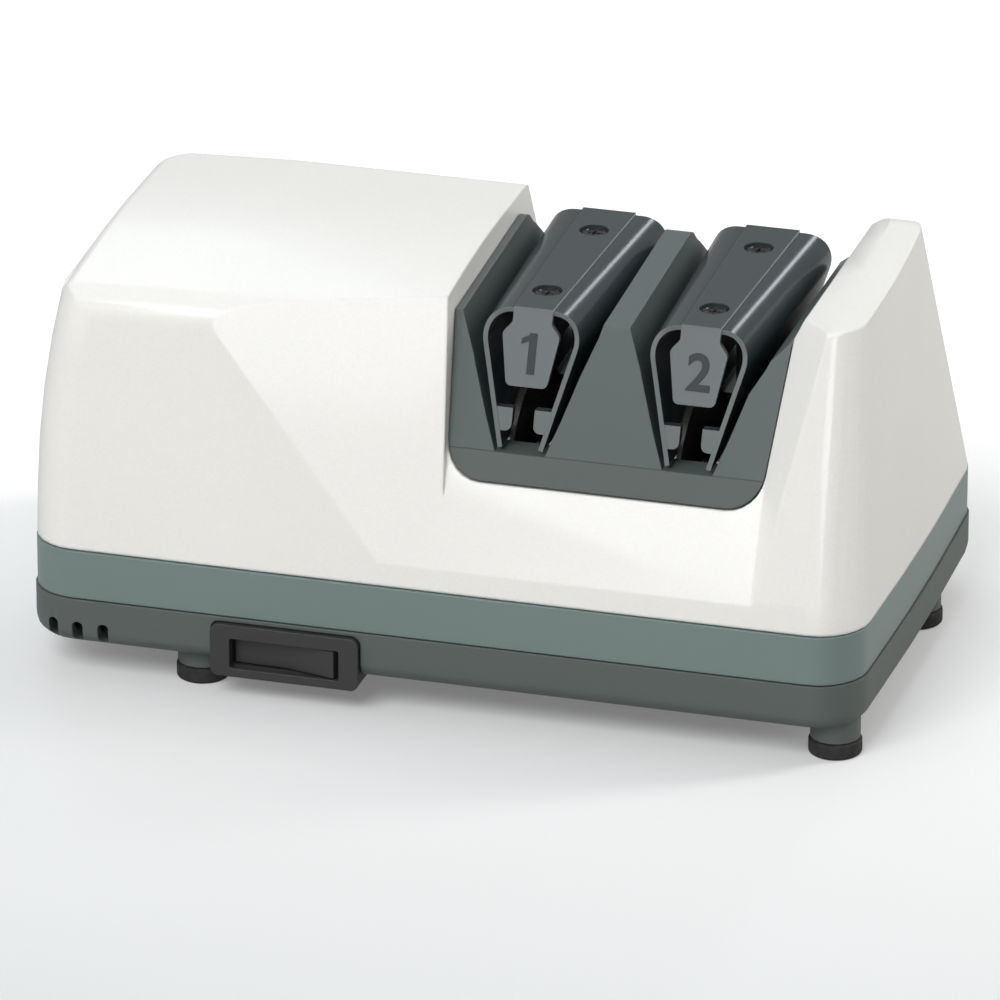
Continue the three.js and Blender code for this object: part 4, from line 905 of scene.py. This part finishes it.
class SHARPENER_OT_brackets(bpy.types.Operator):
    """Finishes the number brackets and sets a digit on each plate"""
    bl_idname = "sharpener.brackets"
    bl_label = "Number brackets"

    BEND_DEPTH = 9.0 * MM
    STRIP_INSIDE = 5.0 * MM
    DIGIT_DROP = 11.4 * MM
    DIGIT_PROUD = 0.42 * MM
    DIGIT_ASIDE = {1: -0.3 * MM, 2: 0.6 * MM}
    STEM_SHARE, FLAG_SHARE = 0.19, 0.76
    TWO_SHARE, FONT_SHARE, TWO_WEIGHT = 0.92, 0.73, 0.3 * MM

    def execute(self, context):
        for n, x in enumerate(STAGE_X, 1):
            plate = merged_copy(f"stage{n}_number_bracket")
            round_edges(plate, sizes().plate_edge)
            smooth(plate, angle=35.0)
            weigh(plate)
            settle(plate, f"stage{n}_bracket_plate", LOOKS["plate"], nodes=(f"stage{n}_number_bracket",),
                   # The strip's right edge takes the pale edge look as a painted highlight.
                   parts=[(LOOKS["strip"], self.is_strip),
                                        (LOOKS["edge"], lambda face: self.is_strip_highlight_edge(face, x))])
            self.digit(n, x)
        return {"FINISHED"}

    def is_strip(self, face):
        """The long part of a bracket, behind its bend."""
        return face.center.y > PLATE_LOW.y + self.BEND_DEPTH

    def is_strip_highlight_edge(self, face, x):
        """The strip's right edge, but not the wall of a screw recess, which takes the pale look as a painted
        highlight.
        """
        return self.is_strip(face) and face.normal.x > 0.3 and abs(face.center.x - x) > self.STRIP_INSIDE

    def digit(self, n, x):
        digit = self.one() if n == 1 else self.two()
        corners = [v.co for v in digit.data.vertices]
        shift = Vector([-(max(c[k] for c in corners) + min(c[k] for c in corners)) / 2 for k in range(3)])
        for vertex in digit.data.vertices:
            vertex.co += shift
        z = PLATE_HIGH.z - self.DIGIT_DROP
        digit.rotation_euler = (pi / 2 - LEAN, 0, 0)
        digit.location = (x + self.DIGIT_ASIDE[n], lean_y(z) - self.DIGIT_PROUD, z)
        take(digit)
        bpy.ops.object.transform_apply(location=True, rotation=True, scale=True)
        open_mesh(digit, "VERT")
        bpy.ops.mesh.select_all(action="SELECT")
        bpy.ops.mesh.remove_doubles(threshold=0.003 * MM)
        close_mesh()
        smooth(digit, angle=30.0)
        settle(digit, f"stage{n}_digit", LOOKS["digit"])

    def one(self):
        """A plain stem with a slanted flag, lying flat."""
        tall, relief = sizes().digit_height, sizes().digit_relief
        thick, fork = self.STEM_SHARE * tall, self.FLAG_SHARE * tall
        stem = block((0, 0, -relief), (thick, tall, relief))
        flag = block((-thick, fork, -relief), (0.5 * thick, tall, relief))
        open_mesh(flag, "VERT")
        for edge, height, share in ((-thick, fork, -0.045), (-thick, tall, -0.15), (0.5 * thick, fork, 0.08)):
            pick(flag, lambda v: abs(v.co.x - edge) < TOUCH and abs(v.co.y - height) < TOUCH, "VERT")
            move(y=share * tall)
        close_mesh()
        modifier(stem, "BOOLEAN", operation="UNION", solver="EXACT", object=flag)
        bpy.data.objects.remove(flag)
        return stem

    def two(self):
        """The other digit, from Blender's own plain font, lying flat."""
        deselect()
        bpy.ops.object.text_add(location=(0, 0, 0))
        text = bpy.context.object.data
        text.body = "2"
        text.size = self.TWO_SHARE * sizes().digit_height / self.FONT_SHARE
        text.extrude = sizes().digit_relief
        text.offset = self.TWO_WEIGHT
        text.resolution_u = 6
        bpy.ops.object.convert(target="MESH")
        return bpy.context.object


class SHARPENER_OT_screws(bpy.types.Operator):
    """Turns the domed bracket screws with their cross recess"""
    bl_idname = "sharpener.screws"
    bl_label = "Bracket screws"

    CLEARANCE = 0.2 * MM
    HEAD, DOME, SHANK_RADIUS = 1.0 * MM, 0.48 * MM, 1.5 * MM
    RING, RING_DROP = 0.5 * MM, 0.05 * MM
    DISH, DISH_DROP = 0.35 * MM, 0.35 * MM
    ARM_REACH, ARM_HALF, ARM_DEPTH, ARM_RISE = 1.7 * MM, 0.32 * MM, 0.9 * MM, 0.5 * MM

    def execute(self, context):
        nodes = [f"stage{n}_guide_screw_{k}" for n in (1, 2) for k in (1, 2)]
        first = self.screw(nodes[0])
        for node in nodes:
            piece = first if node == nodes[0] else self.copy(first, top_of(node) - top_of(nodes[0]))
            settle(piece, node + "_head", LOOKS["screw"], nodes=(node,))
        return {"FINISHED"}

    def copy(self, first, shift):
        piece = bpy.data.objects.new("screw_copy", first.data.copy())
        bpy.context.collection.objects.link(piece)
        piece.location = shift
        return piece

    def screw(self, node):
        x, y, top = top_of(node)
        radius = half_width_of(node) - self.CLEARANCE
        piece = disc_blank(radius, self.HEAD, (x, y, top - self.HEAD / 2))
        open_mesh(piece)
        pick(piece, lambda f: f.normal.z > 0.9)
        for width, drop in ((self.RING, self.RING_DROP), (self.DISH, self.DISH_DROP)):
            bpy.ops.mesh.inset(thickness=width)
            move(z=-drop)
        pick(piece, lambda e: all(Vector((v.co.x - x, v.co.y - y)).length > radius - TOUCH
                                  and v.co.z > top - TOUCH for v in e.verts), "EDGE")
        bpy.ops.mesh.bevel(offset=self.DOME, segments=5)
        pick(piece, lambda f: f.normal.z < -0.9)
        bpy.ops.mesh.inset(thickness=radius - self.SHANK_RADIUS)
        extrude(z=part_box(node)[0].z - (top - self.HEAD))
        close_mesh()
        arms = [block((x - wide, y - deep, top - self.ARM_DEPTH), (x + wide, y + deep, top + self.ARM_RISE))
                for wide, deep in ((self.ARM_REACH, self.ARM_HALF), (self.ARM_HALF, self.ARM_REACH))]
        cut_with(piece, *arms)
        smooth(piece, angle=35.0)
        return piece


class SHARPENER_OT_small_parts(bpy.types.Operator):
    """Finishes the feet, the switch, the discs and the springs between them"""
    bl_idname = "sharpener.small_parts"
    bl_label = "Feet, switch and discs"

    PAD_HEIGHT, STEM_RADIUS = 4.4 * MM, 2.6 * MM
    SOLE_RIM, SOLE_SLOPE = 1.6 * MM, 0.6 * MM
    BEZEL_EDGE, ROCKER_EDGE = 0.5 * MM, 0.4 * MM
    DISC_TRAVEL = 1.2 * MM
    SPRING_REACH = Vector((20 * MM, 20 * MM, 20 * MM))

    def execute(self, context):
        for n in range(1, 5):
            self.foot(n)
        self.switch_part("switch_bezel", "housing", self.BEZEL_EDGE)
        self.switch_part("rocker_button", "rocker", self.ROCKER_EDGE)
        for n in (1, 2):
            for side in ("left", "right"):
                self.disc(n, side)
                self.half_spring(n, side)
        return {"FINISHED"}

    def switch_part(self, node, body, edge):
        piece = merged_copy(node)
        round_edges(piece, edge, segments=3)
        smooth(piece, angle=35.0)
        weigh(piece)
        settle(piece, node + "_moulded", LOOKS["bezel"], body, nodes=(node,))

    def disc(self, n, side):
        node = f"stage{n}_disc_{side}"
        piece = merged_copy(node, flat=0.2)
        smooth(piece, angle=24.0)
        weigh(piece)
        settle(piece, node + "_coated", LOOKS["abrasive"], f"disc_{n}_{side}", nodes=(node,))

    def half_spring(self, n, side):
        """One half of a disc spring."""
        node = f"stage{n}_disc_spring"
        low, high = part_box(node)
        middle, half, travel = (low + high) / 2, (high.x - low.x) / 2, self.DISC_TRAVEL
        near, far = middle - self.SPRING_REACH, middle + self.SPRING_REACH
        piece = merged_copy(node, flat=0.2)
        if side == "left":
            cut_with(piece, block((middle.x, *near.yz), far))
        else:
            cut_with(piece, block(near, (middle.x, *far.yz)))
        smooth(piece, angle=34.0)
        settle(piece, f"{node}_{side}", LOOKS["steel"], "rotor", nodes=(node,))
        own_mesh(piece)

    def foot(self, n):
        """A rubber foot: a round pad with a hollow sole, and the stem that holds it in its collar."""
        node = f"foot_{n}"
        x, y, top = top_of(node)
        radius = half_width_of(node)
        piece = disc_blank(radius, self.PAD_HEIGHT, (x, y, self.PAD_HEIGHT / 2), sides=72)
        open_mesh(piece)
        pick(piece, lambda f: f.normal.z > 0.9)
        bpy.ops.mesh.inset(thickness=radius - self.STEM_RADIUS)
        extrude(z=top - self.PAD_HEIGHT)
        pick(piece, lambda f: f.normal.z < -0.9)
        bpy.ops.mesh.inset(thickness=self.SOLE_RIM)
        bpy.ops.mesh.inset(thickness=self.SOLE_SLOPE)
        move(z=sizes().foot_hollow)
        pick(piece, lambda e: abs(e.verts[0].co.z - e.verts[1].co.z) < TOUCH
             and all(abs(Vector((v.co.x - x, v.co.y - y)).length - radius) < TOUCH for v in e.verts), "EDGE")
        bpy.ops.mesh.bevel(offset=sizes().foot_round, segments=4)
        close_mesh()
        smooth(piece, angle=40.0)
        settle(piece, node + "_rubber", LOOKS["rubber"], nodes=(node,))


class SHARPENER_PT_panel(bpy.types.Panel):
    """Lists the sizes, colours and pieces of the sharpener"""
    bl_label = "Knife sharpener"
    bl_idname = "SHARPENER_PT_panel"
    bl_space_type = "VIEW_3D"
    bl_region_type = "UI"
    bl_category = "Sharpener"

    def draw(self, context):
        layout = self.layout
        for group in (context.scene.sharpener_sizes, context.scene.sharpener_colours):
            column = layout.box().column()
            for key in group.__annotations__:
                column.prop(group, key)
        for operator in OPERATORS:
            layout.operator(operator.bl_idname)


OPERATORS = (
    SHARPENER_OT_stage,
    SHARPENER_OT_finishes,
    SHARPENER_OT_shell,
    SHARPENER_OT_guides,
    SHARPENER_OT_brackets,
    SHARPENER_OT_screws,
    SHARPENER_OT_small_parts,
)
CLASSES = (SharpenerSizes, SharpenerColours, *OPERATORS, SHARPENER_PT_panel)


def register():
    for item in CLASSES:
        bpy.utils.register_class(item)
    bpy.types.Scene.sharpener_sizes = bpy.props.PointerProperty(type=SharpenerSizes)
    bpy.types.Scene.sharpener_colours = bpy.props.PointerProperty(type=SharpenerColours)


def unregister():
    del bpy.types.Scene.sharpener_colours
    del bpy.types.Scene.sharpener_sizes
    for item in reversed(CLASSES):
        bpy.utils.unregister_class(item)


def main():
    register()
    bpy.ops.sharpener.stage()
    bpy.ops.sharpener.finishes()
    bpy.ops.sharpener.shell()
    bpy.ops.sharpener.guides()
    bpy.ops.sharpener.brackets()
    bpy.ops.sharpener.screws()
    bpy.ops.sharpener.small_parts()
    deselect()
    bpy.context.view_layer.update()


if __name__ == "__main__":
    main()
